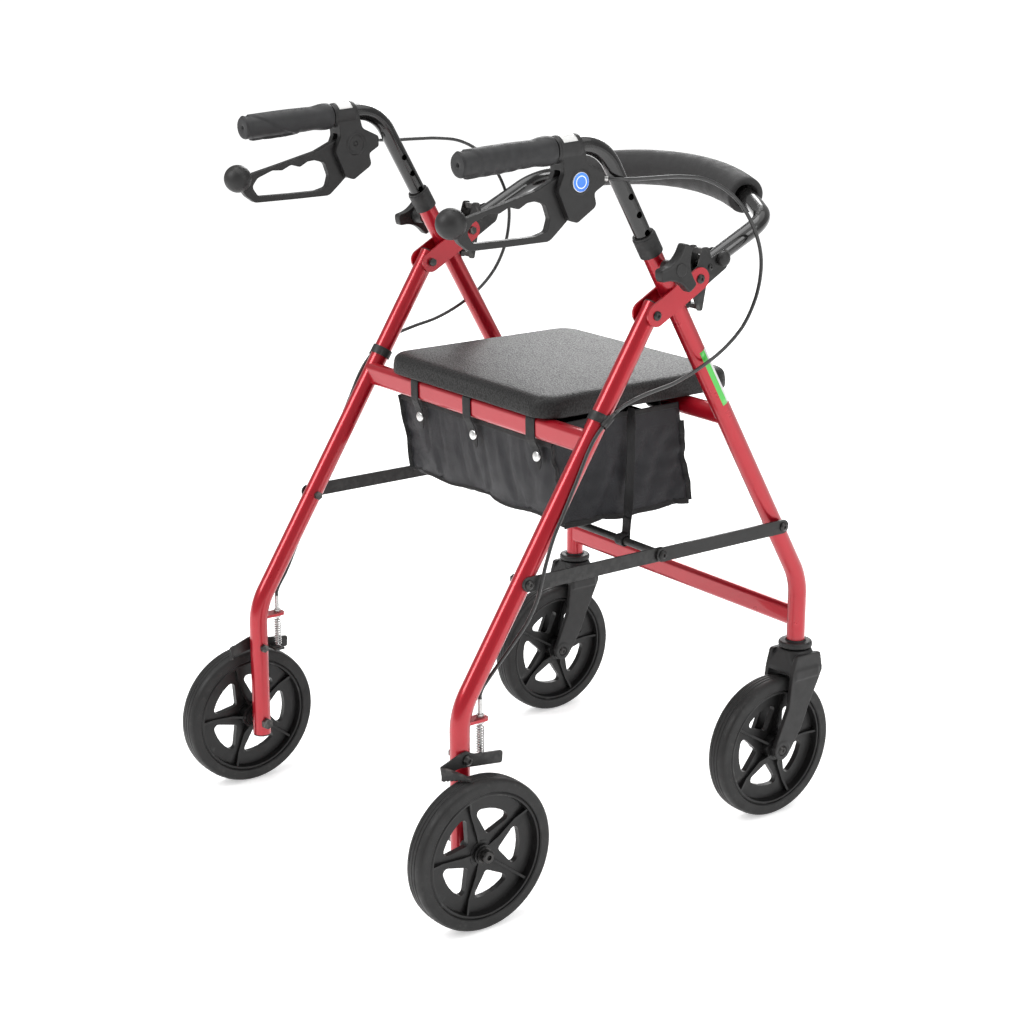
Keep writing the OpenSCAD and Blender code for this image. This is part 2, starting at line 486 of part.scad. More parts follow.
// ---------------------------------------------------------------- seat, bag, strap
module seat() color([0.13, 0.13, 0.13]) {
  yc = -77; r = seat_corner; e = 13;
  hull() for (sx = [-1, 1]) for (sy = [-1, 1]) translate([sx * (seat_w / 2 - r), yc + sy * (seat_l / 2 - r), seat_z - seat_t])
    rotate_extrude($fn = 32) polygon([[0, 0], [r - 5, 0], [r - 1.5, 1.5], [r, 6], [r, seat_t - e],
      [r - e * (1 - cos(30)), seat_t - e + e * sin(30)], [r - e * (1 - cos(60)), seat_t - e + e * sin(60)], [r - e, seat_t], [0, seat_t]]);
}
module seat_clips() color([0.1, 0.1, 0.1]) for (x = [-120, 120]) difference() {
  union() {
    xc(16.6, x - 15, x + 15, cb_up);
    translate([x - 15, cb_up[0] - 14, cb_up[1]]) cube([30, 28, seat_z - seat_t - cb_up[1]]);
    translate([x - 15, cb_up[0] - 26, seat_z - seat_t - 2.5]) cube([30, 52, 2.5]);
  }
  xc(leg_r + 0.05, x - 20, x + 20, cb_up);
  translate([x - 20, cb_up[0] - 8.5, cb_up[1] - 30]) cube([40, 17, 30]);
  translate([x - 20, cb_up[0] - 30, seat_z - seat_t - 0.1]) cube([40, 60, 10]);
}
bag_o = [[-150, 566], [-168, bag_z], [44, bag_z], [63, 566]];
bag_i = [[-147.7, 567], [-165.7, bag_z + 2], [42, bag_z + 2], [60.7, 567]];
module bag() color([0.12, 0.12, 0.13]) {
  difference() {
    yz(-bag_w / 2, bag_w / 2) polygon(bag_o);
    yz(-bag_w / 2 + 2, bag_w / 2 - 2) polygon(bag_i);
  }
  // loops over the front seat bar
  for (x = [-60, 0, 60]) {
    difference() {
      xc(13.6, x - 11, x + 11, cb_up);
      xc(12.8, x - 12, x + 12, cb_up);
    }
    yz(x - 11, x + 11) polygon([[-149.4, 585], [-148.2, 585], [-148.4, 561], [-150, 561]]);
  }
}
loop_x = [122, -1.5, -142.6];
module bag_loops() for (x = loop_x) {
  color([0.12, 0.12, 0.12]) difference() {
    union() {
      translate([x - 9, cb_rear[0], cb_rear[1]]) rotate([90, 0, 90]) linear_extrude(18)
        difference() { bar_outline(-1.7); bar_outline(-0.3); }
      yz(x - 9, x + 9) polygon([[75.15, 588], [76.45, 588], [76.45, 567.5], [70, 541], [68.6, 541], [75.15, 567.5]]);
    }
    translate([x - 10, 40, seat_z - seat_t - 0.2]) cube([20, 60, 10]);
  }
  color("gainsboro") translate([x, 71.6, 549]) rotate([-90 + 8, 0, 0]) cylinder(r = 5, h = 2.4);
}
module fold_strap() color([0.1, 0.1, 0.1]) lr(-1) {
  yz(177, 187) polygon([[-58, 598.5], [-56.6, 598.5], [-50.6, 424], [-50.8, 420], [-51.6, 420], [-52, 424]]);
  difference() {
    xc(7.4, 177, 187, lk_mid);
    xc(6.2, 176, 188, lk_mid);
  }
}

// ---------------------------------------------------------------- links and brakes
module bar_between(x0, x1, a, b, w) yz(x0, x1) {
  for (p = [a, b]) translate(p) circle(r = w / 2);
  translate((a + b) / 2) rotate(atan2(b[1] - a[1], b[0] - a[0])) square([norm(b - a), w], center = true);
}
module rear_links() color([0.1, 0.1, 0.1]) for (s = [-1, 1]) lr(s) difference() {
  bar_between(leg_x + 13, leg_x + 16, lk_rear, lk_mid, link_h);
  xc(3.1, leg_x, leg_x + 30, lk_rear);
  xc(3.05, leg_x, leg_x + 30, lk_mid);
}
module link_rod() color([0.1, 0.1, 0.1]) {
  xc(5, -leg_x - 13, leg_x + 13, lk_mid);
  xc(3.05, -leg_x - 16, leg_x + 16, lk_mid);
}
module front_links() color([0.1, 0.1, 0.1]) for (s = [-1, 1]) lr(s) {
  difference() {
    bar_between(leg_x + 16.5, leg_x + 19.5, lk_front, lk_mid, link_h);
    xc(3.1, leg_x, leg_x + 30, lk_front);
  }
  head(leg_x + 19.5, lk_mid, 6);
}
module rear_frame_bolts() color([0.12, 0.12, 0.12]) for (s = [-1, 1]) lr(s) {
  xc(3, leg_x - leg_r, leg_x + 16.3, lk_rear);
  head(leg_x + 16.3, lk_rear, 6);
  nut(leg_x - leg_r, lk_rear, 6, 5);
  xc(3, leg_x - leg_r, leg_x + 16.3, arm_piv);
  head(leg_x + 16.3, arm_piv, 7, 4);
  nut(leg_x - leg_r, arm_piv, 6, 5);
}
module cable_clips() color([0.1, 0.1, 0.1]) for (s = [-1, 1]) lr(s) difference() {
  union() {
    rod(leg_x, rl(617), rl(607), 14.6);
    rod(leg_x + 15.9, [41.6, 615.5], [54, 605.4], 4.9);
  }
  rod(leg_x, rl(640), rl(590), leg_r);
  rod(leg_x + 15.9, [32.3, 623], [63.3, 597.8], 3.6);
}
module cable_barrels() color("silver") for (s = [-1, 1]) lr(s) translate([leg_x, 231, 0]) difference() {
  union() {
    translate([0, 0, 251]) cylinder(r = 2.9, h = 32);
    translate([0, 0, 208.4]) cylinder(r = 1, h = 48);
    translate([0, 0, 259]) cylinder(r = 5, h = 4, $fn = 6);
    translate([0, 0, 250.4]) cylinder(r = 5, h = 4, $fn = 6);
  }
  translate([0, 0, 270]) cylinder(r = 2.4, h = 20);
}
module spring_coil(r, w, z0, z1, turns, seg) sweep([for (i = [0:turns * seg]) let(a = i * 360 / seg) [r * cos(a), r * sin(a), z0 + (z1 - z0) * i / (turns * seg)]], w, 6, [0, 0, 1]);
module brake_springs() color("silver") for (s = [-1, 1]) lr(s) translate([leg_x, 231, 0])
  spring_coil(4.4, 0.8, 208.2, 249, 9, 10);
module brake_arm(s) color([0.12, 0.12, 0.12]) lr(s) {
  difference() {
    yz(leg_x + 13, leg_x + 16) polygon(rp([[209, 198], [208, 214], [252, 219.5], [262, 226], [272, 224], [301, 213.5], [299, 201], [272, 206], [250, 203]],
      [3, 3, 20, 8, 12, 2, 2, 20, 20], 4));
    xc(3.1, leg_x, leg_x + 30, arm_piv);
  }
  // lug that the spring pulls on
  translate([leg_x - 6, 224, 202.5]) cube([19.5, 14, 3]);
  translate([leg_x + 12, 224, 202.5]) cube([2, 14, 4]);
  // shoe: plate bent outwards over the tyre, serrated along its lower edge
  difference() {
    translate([leg_x, 0, 0]) intersection() {
      translate([0, 0, 190]) linear_extrude(30) polygon([[13, 297.5], [45, 276], [48, 279.4], [16, 301]]);
      rotate([90, 0, 0]) translate([0, 0, -310]) linear_extrude(60) polygon([[13, 213.5], [22, 212], [49, 203], [49, 190], [13, 190]]);
    }
    xc(wheel_r + 2.7, leg_x, leg_x + 70, rear_ax);
    for (i = [0:7]) translate([leg_x + 16 + 4 * i, 262, 100]) rotate([0, 90, 0]) cylinder(r = wheel_r + 4.2, h = 1.6);
  }
}
module brake_cable(s) color([0.06, 0.06, 0.06]) lr(s) sweep(spline(cable_route, 2), 2.4, 8);

front_leg(-1);  // front_leg_right
front_leg(1);  // front_leg_left
lower_crossbar();
upper_crossbar();
hinge_plates();
tube_collars();
front_frame_bolts();
caster_stems();
stem_caps();
bag();
fold_strap();
brake_cable(-1);  // brake_cable_right
brake_cable(1);  // brake_cable_left
rear_leg(-1);  // rear_leg_right
rear_leg(1);  // rear_leg_left
rear_crossbar();
leg_plugs();
cable_barrels();
rear_axles();
rear_frame_bolts();
cable_clips();
brake_springs();
bag_loops();
rear_rim(-1);  // rear_rim_right
rear_rim(1);  // rear_rim_left
rear_tyre(-1);  // rear_tyre_right
rear_tyre(1);  // rear_tyre_left
caster_fork(-1);  // caster_fork_right
caster_fork(1);  // caster_fork_left
caster_axle(-1);  // caster_axle_right
caster_axle(1);  // caster_axle_left
caster_rim(-1);  // caster_rim_right
caster_rim(1);  // caster_rim_left
caster_tyre(-1);  // caster_tyre_right
caster_tyre(1);  // caster_tyre_left
handle_tube(-1);  // handle_tube_right
handle_tube(1);  // handle_tube_left
grip(-1);  // grip_right
grip(1);  // grip_left
brake_housing(-1);  // brake_housing_right
brake_housing(1);  // brake_housing_left
cable_adjuster(-1);  // cable_adjuster_right
cable_adjuster(1);  // cable_adjuster_left
pivot_badge();
brake_lever(-1);  // brake_lever_right
brake_lever(1);  // brake_lever_left
height_knob(-1);  // height_knob_right
height_knob(1);  // height_knob_left
backrest_tube();
backrest_foam();
backrest_brackets();
backrest_pin(-1);  // backrest_pin_right
backrest_pin(1);  // backrest_pin_left
seat();
seat_clips();
rear_links();
link_rod();
front_links();
brake_arm(-1);  // brake_arm_right
brake_arm(1);  // brake_arm_left
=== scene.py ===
import json
import math

import bmesh
import bpy
import numpy as np
from mathutils import Matrix, Vector


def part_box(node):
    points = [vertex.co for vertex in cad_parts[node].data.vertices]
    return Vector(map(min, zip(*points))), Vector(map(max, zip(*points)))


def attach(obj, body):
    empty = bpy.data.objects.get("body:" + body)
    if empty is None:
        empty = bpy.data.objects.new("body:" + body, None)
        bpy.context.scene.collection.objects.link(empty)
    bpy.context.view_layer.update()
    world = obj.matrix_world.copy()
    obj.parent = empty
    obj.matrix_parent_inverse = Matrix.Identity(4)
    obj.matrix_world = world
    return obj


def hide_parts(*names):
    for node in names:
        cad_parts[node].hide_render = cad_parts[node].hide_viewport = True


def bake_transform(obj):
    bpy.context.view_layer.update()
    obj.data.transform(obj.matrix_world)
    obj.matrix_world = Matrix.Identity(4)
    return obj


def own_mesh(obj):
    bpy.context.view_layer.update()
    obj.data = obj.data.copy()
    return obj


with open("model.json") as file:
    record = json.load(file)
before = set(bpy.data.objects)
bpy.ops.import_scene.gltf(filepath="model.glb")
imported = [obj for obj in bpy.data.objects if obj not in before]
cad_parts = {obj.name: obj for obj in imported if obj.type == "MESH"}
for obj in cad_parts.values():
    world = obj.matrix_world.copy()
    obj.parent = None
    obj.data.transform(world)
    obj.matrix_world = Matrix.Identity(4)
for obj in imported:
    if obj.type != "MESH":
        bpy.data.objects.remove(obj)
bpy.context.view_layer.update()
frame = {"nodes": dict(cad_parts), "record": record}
nodes = frame["nodes"]
scene = bpy.context.scene
MM = 0.001
SIDES = (("right", -1), ("left", 1))


# ------------------------------------------------------------ camera
cam_data = bpy.data.cameras.new("camera")
cam = bpy.data.objects.new("camera", cam_data)
scene.collection.objects.link(cam)
cam_data.lens = 73.93
cam_data.sensor_width = 36
cam_data.clip_start, cam_data.clip_end = 0.05, 200
cam.location = (-2.2264, 1.6401, 1.2363)
cam.rotation_mode = "QUATERNION"
cam.rotation_quaternion = Vector((0.7724, -0.5693, -0.2817)).to_track_quat("-Z", "Y")
scene.camera = cam


# ------------------------------------------------------------ materials
class Shader:
    """A node material built round one Principled shader. Lengths are in metres, in the object's own space."""

    def __init__(self, name, **sockets):
        self.mat = bpy.data.materials.new(name)
        self.mat.use_nodes = True
        self.tree = self.mat.node_tree
        self.tree.nodes.clear()
        self.out = self.tree.nodes.new("ShaderNodeOutputMaterial")
        self.bsdf = self.tree.nodes.new("ShaderNodeBsdfPrincipled")
        self.link(self.bsdf.outputs[0], self.out.inputs[0])
        self.coord = self.tree.nodes.new("ShaderNodeTexCoord").outputs["Object"]
        self.normal = None
        for key, value in sockets.items():
            name = key.replace("_", " ")
            found = [i for i in self.bsdf.inputs if i.name.lower() == name.lower()]
            found[0].default_value = (*value, 1) if isinstance(value, tuple) and len(value) == 3 else value

    def link(self, a, b):
        self.tree.links.new(a, b)

    def node(self, kind, **props):
        n = self.tree.nodes.new(kind)
        for k, v in props.items():
            setattr(n, k, v)
        return n

    def stretched(self, x, y, z, turn=(0, 0, 0)):
        n = self.node("ShaderNodeMapping")
        n.inputs["Scale"].default_value = (x, y, z)
        n.inputs["Rotation"].default_value = turn
        self.link(self.coord, n.inputs["Vector"])
        return n.outputs[0]

    def noise(self, scale, detail=3.0, rough=0.55, vector=None):
        n = self.node("ShaderNodeTexNoise")
        n.inputs["Scale"].default_value = scale
        n.inputs["Detail"].default_value = detail
        n.inputs["Roughness"].default_value = rough
        self.link(vector or self.coord, n.inputs["Vector"])
        return n.outputs["Fac"]

    def cells(self, scale, feature="F1", smooth=None, vector=None):
        n = self.node("ShaderNodeTexVoronoi", feature=feature)
        n.inputs["Scale"].default_value = scale
        if smooth is not None:
            n.inputs["Smoothness"].default_value = smooth
        self.link(vector or self.coord, n.inputs["Vector"])
        return n.outputs["Distance"]

    def wave(self, scale, direction="X", distort=0.0, vector=None, profile="SIN"):
        n = self.node("ShaderNodeTexWave", wave_type="BANDS", bands_direction=direction, wave_profile=profile)
        n.inputs["Scale"].default_value = scale
        n.inputs["Distortion"].default_value = distort
        n.inputs["Detail"].default_value = 1.0
        self.link(vector or self.coord, n.inputs["Vector"])
        return n.outputs["Fac"]

    def attribute(self, name):
        return self.node("ShaderNodeAttribute", attribute_name=name).outputs["Fac"]

    def span(self, fac, a, b, c, d):
        n = self.node("ShaderNodeMapRange")
        for i, v in zip((1, 2, 3, 4), (a, b, c, d)):
            n.inputs[i].default_value = v
        self.link(fac, n.inputs[0])
        return n.outputs[0]

    def maths(self, op, a, b=None):
        n = self.node("ShaderNodeMath", operation=op)
        for i, v in enumerate((a, b)):
            if v is None:
                continue
            if isinstance(v, (int, float)):
                n.inputs[i].default_value = v
            else:
                self.link(v, n.inputs[i])
        return n.outputs[0]

    def mix(self, fac, a, b):
        """Colour a where fac is 0 and b where it is 1; a and b are colours or outputs."""
        n = self.node("ShaderNodeMix", data_type="RGBA")
        self.link(fac, n.inputs[0])
        for i, v in ((6, a), (7, b)):
            if isinstance(v, tuple):
                n.inputs[i].default_value = (*v, 1)
            else:
                self.link(v, n.inputs[i])
        return n.outputs[2]

    def bump(self, height, depth, strength=1.0):
        n = self.node("ShaderNodeBump")
        n.inputs["Strength"].default_value = strength
        n.inputs["Distance"].default_value = depth
        self.link(height, n.inputs["Height"])
        if self.normal is not None:
            self.link(self.normal, n.inputs["Normal"])
        self.normal = n.outputs[0]
        return self

    def done(self, color=None, roughness=None, coat=False):
        if color is not None:
            self.link(color, self.bsdf.inputs["Base Color"])
        if roughness is not None:
            self.link(roughness, self.bsdf.inputs["Roughness"])
        if self.normal is not None:
            self.link(self.normal, self.bsdf.inputs["Normal"])
            if coat:
                self.link(self.normal, self.bsdf.inputs["Coat Normal"])
        return self.mat

    def worn(self, low, high):
        """Edges and corners, from how convex the surface is, broken up by noise."""
        g = self.node("ShaderNodeNewGeometry").outputs["Pointiness"]
        edge = self.span(g, low, high, 0.0, 1.0)
        return self.maths("MULTIPLY", edge, self.span(self.noise(120, 4), 0.42, 0.62, 0.0, 1.0))


def red_paint():
    s = Shader("red_paint", Metallic=0.45, Coat_Weight=0.75, Coat_Roughness=0.045, Coat_IOR=1.45)
    tone = s.mix(s.noise(7, 2), (0.315, 0.0012, 0.009), (0.385, 0.0018, 0.012))
    tone = s.mix(s.span(s.cells(2600), 0.25, 0.5, 0.0, 0.35), tone, (0.50, 0.004, 0.018))
    tone = s.mix(s.span(s.noise(420, 2), 0.66, 0.74, 0.0, 0.3), tone, (0.24, 0.001, 0.006))
    s.bump(s.noise(2200, 1), 0.00004, 0.35).bump(s.noise(160, 2), 0.0002, 0.10)
    return s.done(tone, s.span(s.noise(35, 4), 0.3, 0.7, 0.27, 0.36))


def black_tube():
    s = Shader("black_tube", Metallic=0.0, Coat_Weight=0.6, Coat_Roughness=0.05, Specular_IOR_Level=0.4)
    tone = s.mix(s.noise(14, 3), (0.0035, 0.0034, 0.0034), (0.0075, 0.0072, 0.0070))
    tone = s.mix(s.span(s.noise(900, 2), 0.68, 0.74, 0.0, 0.2), tone, (0.03, 0.03, 0.03))
    s.bump(s.noise(210, 2), 0.0002, 0.12)
    return s.done(tone, s.span(s.noise(60, 4), 0.3, 0.7, 0.16, 0.28))


def black_steel():
    s = Shader("black_steel", Metallic=0.0, Coat_Weight=0.08, Coat_Roughness=0.3, Specular_IOR_Level=0.35)
    tone = s.mix(s.noise(18, 3), (0.0065, 0.0063, 0.0062), (0.012, 0.0117, 0.0115))
    tone = s.mix(s.worn(0.53, 0.60), tone, (0.075, 0.073, 0.07))
    s.bump(s.noise(1300, 3), 0.00006, 0.6).bump(s.noise(90, 2), 0.0002, 0.15)
    return s.done(tone, s.span(s.noise(140, 4), 0.3, 0.7, 0.34, 0.5))


def black_plastic():
    s = Shader("black_plastic", Specular_IOR_Level=0.36)
    tone = s.mix(s.noise(22, 4), (0.0115, 0.0112, 0.0112), (0.019, 0.0185, 0.0185))
    tone = s.mix(s.worn(0.53, 0.62), tone, (0.065, 0.064, 0.062))
    s.bump(s.cells(1150, "SMOOTH_F1", 0.6), 0.00007, 0.55).bump(s.noise(60, 2), 0.0003, 0.12)
    return s.done(tone, s.span(s.noise(95, 4), 0.3, 0.7, 0.40, 0.56))


def rim_plastic():
    s = Shader("rim_plastic", Specular_IOR_Level=0.34)
    tone = s.mix(s.noise(16, 4), (0.0048, 0.0047, 0.0047), (0.0095, 0.0092, 0.0092))
    tone = s.mix(s.worn(0.53, 0.62), tone, (0.045, 0.044, 0.043))
    s.bump(s.cells(950, "SMOOTH_F1", 0.5), 0.00006, 0.5).bump(s.noise(45, 2), 0.0004, 0.14)
    return s.done(tone, s.span(s.noise(80, 4), 0.3, 0.7, 0.33, 0.48))


def tyre():
    s = Shader("tyre", Specular_IOR_Level=0.32)
    tone = s.mix(s.noise(26, 5), (0.0085, 0.0083, 0.0083), (0.016, 0.0157, 0.0155))
    tone = s.mix(s.span(s.noise(160, 4), 0.58, 0.75, 0.0, 0.5), tone, (0.04, 0.039, 0.037))
    s.bump(s.noise(1500, 3), 0.00008, 0.6).bump(s.noise(70, 3), 0.0003, 0.2)
    return s.done(tone, s.span(s.noise(60, 5), 0.3, 0.7, 0.42, 0.62))


def zinc(name="zinc", tint=(0.63, 0.63, 0.62)):
    s = Shader(name, Metallic=1.0)
    dark = tuple(0.72 * c for c in tint)
    tone = s.mix(s.span(s.cells(520), 0.1, 0.7, 0.0, 1.0), tint, dark)
    tone = s.mix(s.span(s.noise(300, 4), 0.62, 0.75, 0.0, 0.6), tone, (0.30, 0.28, 0.26))
    s.bump(s.noise(1400, 2), 0.00004, 0.5)
    return s.done(tone, s.span(s.noise(240, 4), 0.3, 0.7, 0.20, 0.38))


def grip_rubber():
    s = Shader("grip_rubber", Specular_IOR_Level=0.32)
    tone = s.mix(s.noise(30, 4), (0.018, 0.0180, 0.0187), (0.028, 0.0280, 0.0292))
    s.bump(s.cells(1000, "SMOOTH_F1", 0.7), 0.00012, 0.7).bump(s.noise(90, 3), 0.0002, 0.2)
    return s.done(tone, s.span(s.noise(110, 4), 0.3, 0.7, 0.44, 0.6))


def foam():
    s = Shader("backrest_foam", Specular_IOR_Level=0.28, Sheen_Weight=0.06, Sheen_Roughness=0.5)
    tone = s.mix(s.noise(16, 4), (0.020, 0.0195, 0.0198), (0.031, 0.0303, 0.0305))
    tone = s.mix(s.span(s.cells(1400), 0.5, 0.9, 0.0, 0.6), tone, (0.022, 0.022, 0.022))
    s.bump(s.cells(1400, "SMOOTH_F1", 0.5), 0.00016, 0.8).bump(s.noise(180, 4), 0.0005, 0.35)
    return s.done(tone, s.span(s.noise(80, 4), 0.3, 0.7, 0.55, 0.72))


def seat_skin():
    s = Shader("seat_skin", Specular_IOR_Level=0.22, Coat_Weight=0.0, Coat_Roughness=0.35)
    tone = s.mix(s.noise(12, 4), (0.017, 0.0167, 0.0167), (0.027, 0.0265, 0.0262))
    grain = s.cells(430, "SMOOTH_F1", 0.35, s.stretched(1, 1, 1))
    tone = s.mix(s.span(grain, 0.30, 0.75, 0.0, 0.75), tone, (0.009, 0.0088, 0.0088))
    s.bump(grain, 0.00042, 0.85).bump(s.noise(1300, 3), 0.00010, 0.5).bump(s.noise(38, 3), 0.0012, 0.22)
    return s.done(tone, s.span(grain, 0.1, 0.8, 0.36, 0.60))


def woven(name, low, high, pitch, depth, rough=(0.45, 0.62), sheen=0.2):
    """Plain weave: two sets of threads at right angles, taken in three planes so that it lies right on any panel."""
    s = Shader(name, Specular_IOR_Level=0.34, Sheen_Weight=sheen, Sheen_Roughness=0.4)
    k = 1.0 / (pitch * 6.2832) * 3.1416
    x, y, z = s.wave(k, "X", 0.4), s.wave(k, "Y", 0.4), s.wave(k, "Z", 0.4)
    weave = s.maths("ADD", s.maths("MULTIPLY", x, y), s.maths("ADD", s.maths("MULTIPLY", y, z), s.maths("MULTIPLY", z, x)))
    tone = s.mix(s.noise(11, 4), low, high)
    tone = s.mix(s.span(weave, 0.2, 1.6, 0.35, 0.0), tone, (0.004, 0.004, 0.0045))
    s.bump(weave, depth, 0.7).bump(s.noise(150, 4), 0.0006, 0.25)
    return s.done(tone, s.span(s.noise(45, 4), 0.3, 0.7, *rough))


def sheath():
    s = Shader("cable_sheath", Coat_Weight=0.25, Coat_Roughness=0.15)
    tone = s.mix(s.noise(60, 3), (0.010, 0.010, 0.010), (0.019, 0.019, 0.019))
    ring = s.maths("SINE", s.maths("MULTIPLY", s.attribute("along"), 2 * math.pi / 0.0016))
    s.bump(ring, 0.00010, 0.5)
    return s.done(tone, s.span(s.noise(200, 3), 0.3, 0.7, 0.28, 0.42))


def badge(centre):
    """A plain blue disc with a pale ring, in place of the maker's own."""
    s = Shader("badge", Coat_Weight=1.0, Coat_Roughness=0.04)
    sep = s.node("ShaderNodeSeparateXYZ")
    s.link(s.coord, sep.inputs[0])
    dy = s.maths("SUBTRACT", sep.outputs[1], centre[1])
    dz = s.maths("SUBTRACT", sep.outputs[2], centre[2])
    r = s.maths("SQRT", s.maths("ADD", s.maths("MULTIPLY", dy, dy), s.maths("MULTIPLY", dz, dz)))
    # painted shade and highlight: the blue is darker at the bottom and lighter at the top, as if lit from above
    tone = s.mix(s.span(dz, -0.012, 0.012, 0.0, 1.0), (0.02, 0.17, 0.72), (0.03, 0.24, 0.86))
    ring = s.maths("MULTIPLY", s.span(r, 0.0066, 0.0068, 0.0, 1.0), s.span(r, 0.0078, 0.0080, 1.0, 0.0))
    tone = s.mix(ring, tone, (0.80, 0.86, 0.95))
    tone = s.mix(s.span(r, 0.0112, 0.0116, 0.0, 1.0), tone, (0.75, 0.77, 0.80))
    s.bump(s.noise(300, 2), 0.00005, 0.2)
    return s.done(tone, s.span(s.noise(90, 3), 0.3, 0.7, 0.25, 0.34))


def bolts():
    s = Shader("black_bolts", Metallic=0.75)
    tone = s.mix(s.noise(260, 4), (0.030, 0.029, 0.029), (0.060, 0.058, 0.056))
    tone = s.mix(s.worn(0.53, 0.62), tone, (0.20, 0.19, 0.18))
    s.bump(s.noise(1500, 3), 0.00005, 0.5)
    return s.done(tone, s.span(s.noise(180, 4), 0.3, 0.7, 0.26, 0.42))


def film(name, low, high):
    s = Shader(name, Coat_Weight=0.6, Coat_Roughness=0.1)
    tone = s.mix(s.noise(50, 4), low, high)
    s.bump(s.noise(180, 3), 0.00008, 0.3)
    return s.done(tone, s.span(s.noise(90, 4), 0.3, 0.7, 0.28, 0.42))


M = {
    "red_paint": red_paint(), "black_tube": black_tube(), "black_steel": black_steel(), "black_plastic": black_plastic(),
    "rim_plastic": rim_plastic(), "tyre": tyre(), "zinc": zinc(), "grip_foam": grip_rubber(), "backrest_foam": foam(),
    "seat_pad": seat_skin(), "cable_sheath": sheath(), "black_bolts": bolts(),
    "bag_fabric": woven("bag_fabric", (0.0055, 0.0057, 0.0082), (0.0100, 0.0103, 0.0140), 0.0011, 0.00010, (0.40, 0.56), 0.03),
    "webbing": woven("webbing", (0.0055, 0.0055, 0.006), (0.010, 0.010, 0.0105), 0.0016, 0.00022, (0.5, 0.68), 0.10),
    "badge": badge((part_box("pivot_badge")[0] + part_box("pivot_badge")[1]) / 2),
    "snap": zinc("snap_metal", (0.95, 0.95, 0.94)),
    "white_film": film("white_film", (0.60, 0.60, 0.59), (0.68, 0.68, 0.67)),
    "green_film": film("green_film", (0.05, 0.46, 0.05), (0.07, 0.54, 0.06)),
}


# ------------------------------------------------------------ the CAD nodes' finish
def smooth_group():
    g = bpy.data.node_groups.new("merged_smooth", "GeometryNodeTree")
    g.interface.new_socket("Geometry", in_out="INPUT", socket_type="NodeSocketGeometry")
    g.interface.new_socket("Geometry", in_out="OUTPUT", socket_type="NodeSocketGeometry")
    i, o = g.nodes.new("NodeGroupInput"), g.nodes.new("NodeGroupOutput")
    drop = g.nodes.new("GeometryNodeRemoveAttribute")
    drop.inputs["Name"].default_value = "custom_normal"
    merge = g.nodes.new("GeometryNodeMergeByDistance")
    merge.inputs["Distance"].default_value = 0.00001
    shade = g.nodes.new("GeometryNodeSetShadeSmooth")
    g.links.new(i.outputs[0], drop.inputs[0])
    g.links.new(drop.outputs[0], merge.inputs[0])
    g.links.new(merge.outputs[0], shade.inputs[0])
    g.links.new(shade.outputs[0], o.inputs[0])
    return g


MERGED = smooth_group()


def merged(o):
    m = o.modifiers.new("merged", "NODES")
    m.node_group = MERGED


def eased(o, width, angle=32, segments=2):
    """Rounds a CAD node's sharp edges, as a die or a file leaves them."""
    merged(o)
    d = o.modifiers.new("flats", "DECIMATE")
    d.decimate_type = "DISSOLVE"
    d.angle_limit = math.radians(0.35)
    b = o.modifiers.new("edges", "BEVEL")
    b.width, b.segments, b.limit_method, b.angle_limit = width, segments, "ANGLE", math.radians(angle)
    b.use_clamp_overlap = True
    b.harden_normals = False
    w = o.modifiers.new("shading", "WEIGHTED_NORMAL")
    w.weight = 60
    w.keep_sharp = False


def moulded(o, voxel, rounds, factor=0.5):
    """Melts a CAD node's edges into each other, as in a moulding."""
    merged(o)
    r = o.modifiers.new("skin", "REMESH")
    r.mode, r.voxel_size, r.use_smooth_shade = "VOXEL", voxel, True
    s = o.modifiers.new("fillets", "SMOOTH")
    s.factor, s.iterations = factor, rounds


EASE = {
    "front_leg_right": 0.4, "front_leg_left": 0.4, "rear_leg_right": 0.4, "rear_leg_left": 0.4, "lower_crossbar": 1.0,
    "upper_crossbar": 0.3, "rear_crossbar": 1.0, "hinge_plates": 0.7, "tube_collars": 0.8, "front_frame_bolts": 0.45,
    "caster_stems": 0.4, "stem_caps": 0.9, "leg_plugs": 0.6, "cable_barrels": 0.2, "rear_axles": 0.5, "rear_frame_bolts": 0.45,
    "cable_clips": 0.5, "handle_tube_right": 0.25, "handle_tube_left": 0.25, "cable_adjuster_right": 0.3,
    "cable_adjuster_left": 0.3, "pivot_badge": 0.3, "backrest_tube": 0.3, "backrest_brackets": 0.4,
    "backrest_pin_right": 0.5, "backrest_pin_left": 0.5, "seat_clips": 0.6, "rear_links": 0.5, "link_rod": 0.4,
    "front_links": 0.5, "brake_arm_right": 0.4, "brake_arm_left": 0.4, "caster_axle_right": 0.4, "caster_axle_left": 0.4,
    "caster_rim_right": 0.7, "caster_rim_left": 0.7, "rear_rim_right": 0.7, "rear_rim_left": 0.7,
    "caster_tyre_right": 0.5, "caster_tyre_left": 0.5, "rear_tyre_right": 0.5, "rear_tyre_left": 0.5,
}
MOULD = {
    "caster_fork_right": (0.0010, 9), "caster_fork_left": (0.0010, 9), "brake_housing_right": (0.0007, 5),
    "brake_housing_left": (0.0007, 5), "brake_lever_right": (0.0007, 6), "brake_lever_left": (0.0007, 6),
}
for name, o in nodes.items():
    slot = next((m["slot"] for m in frame["record"]["materials"] if m["slot"] == (o.data.materials[0].name.split(".")[0] if o.data.materials else "")), None)
    key = slot if slot in M else "black_plastic"
    if name == "rear_axles":
        key = "black_bolts"
    for i in range(len(o.data.materials)):
        o.data.materials[i] = M[key]
    if name in EASE:
        eased(o, EASE[name] * MM)
    elif name in MOULD:
        moulded(o, *MOULD[name])


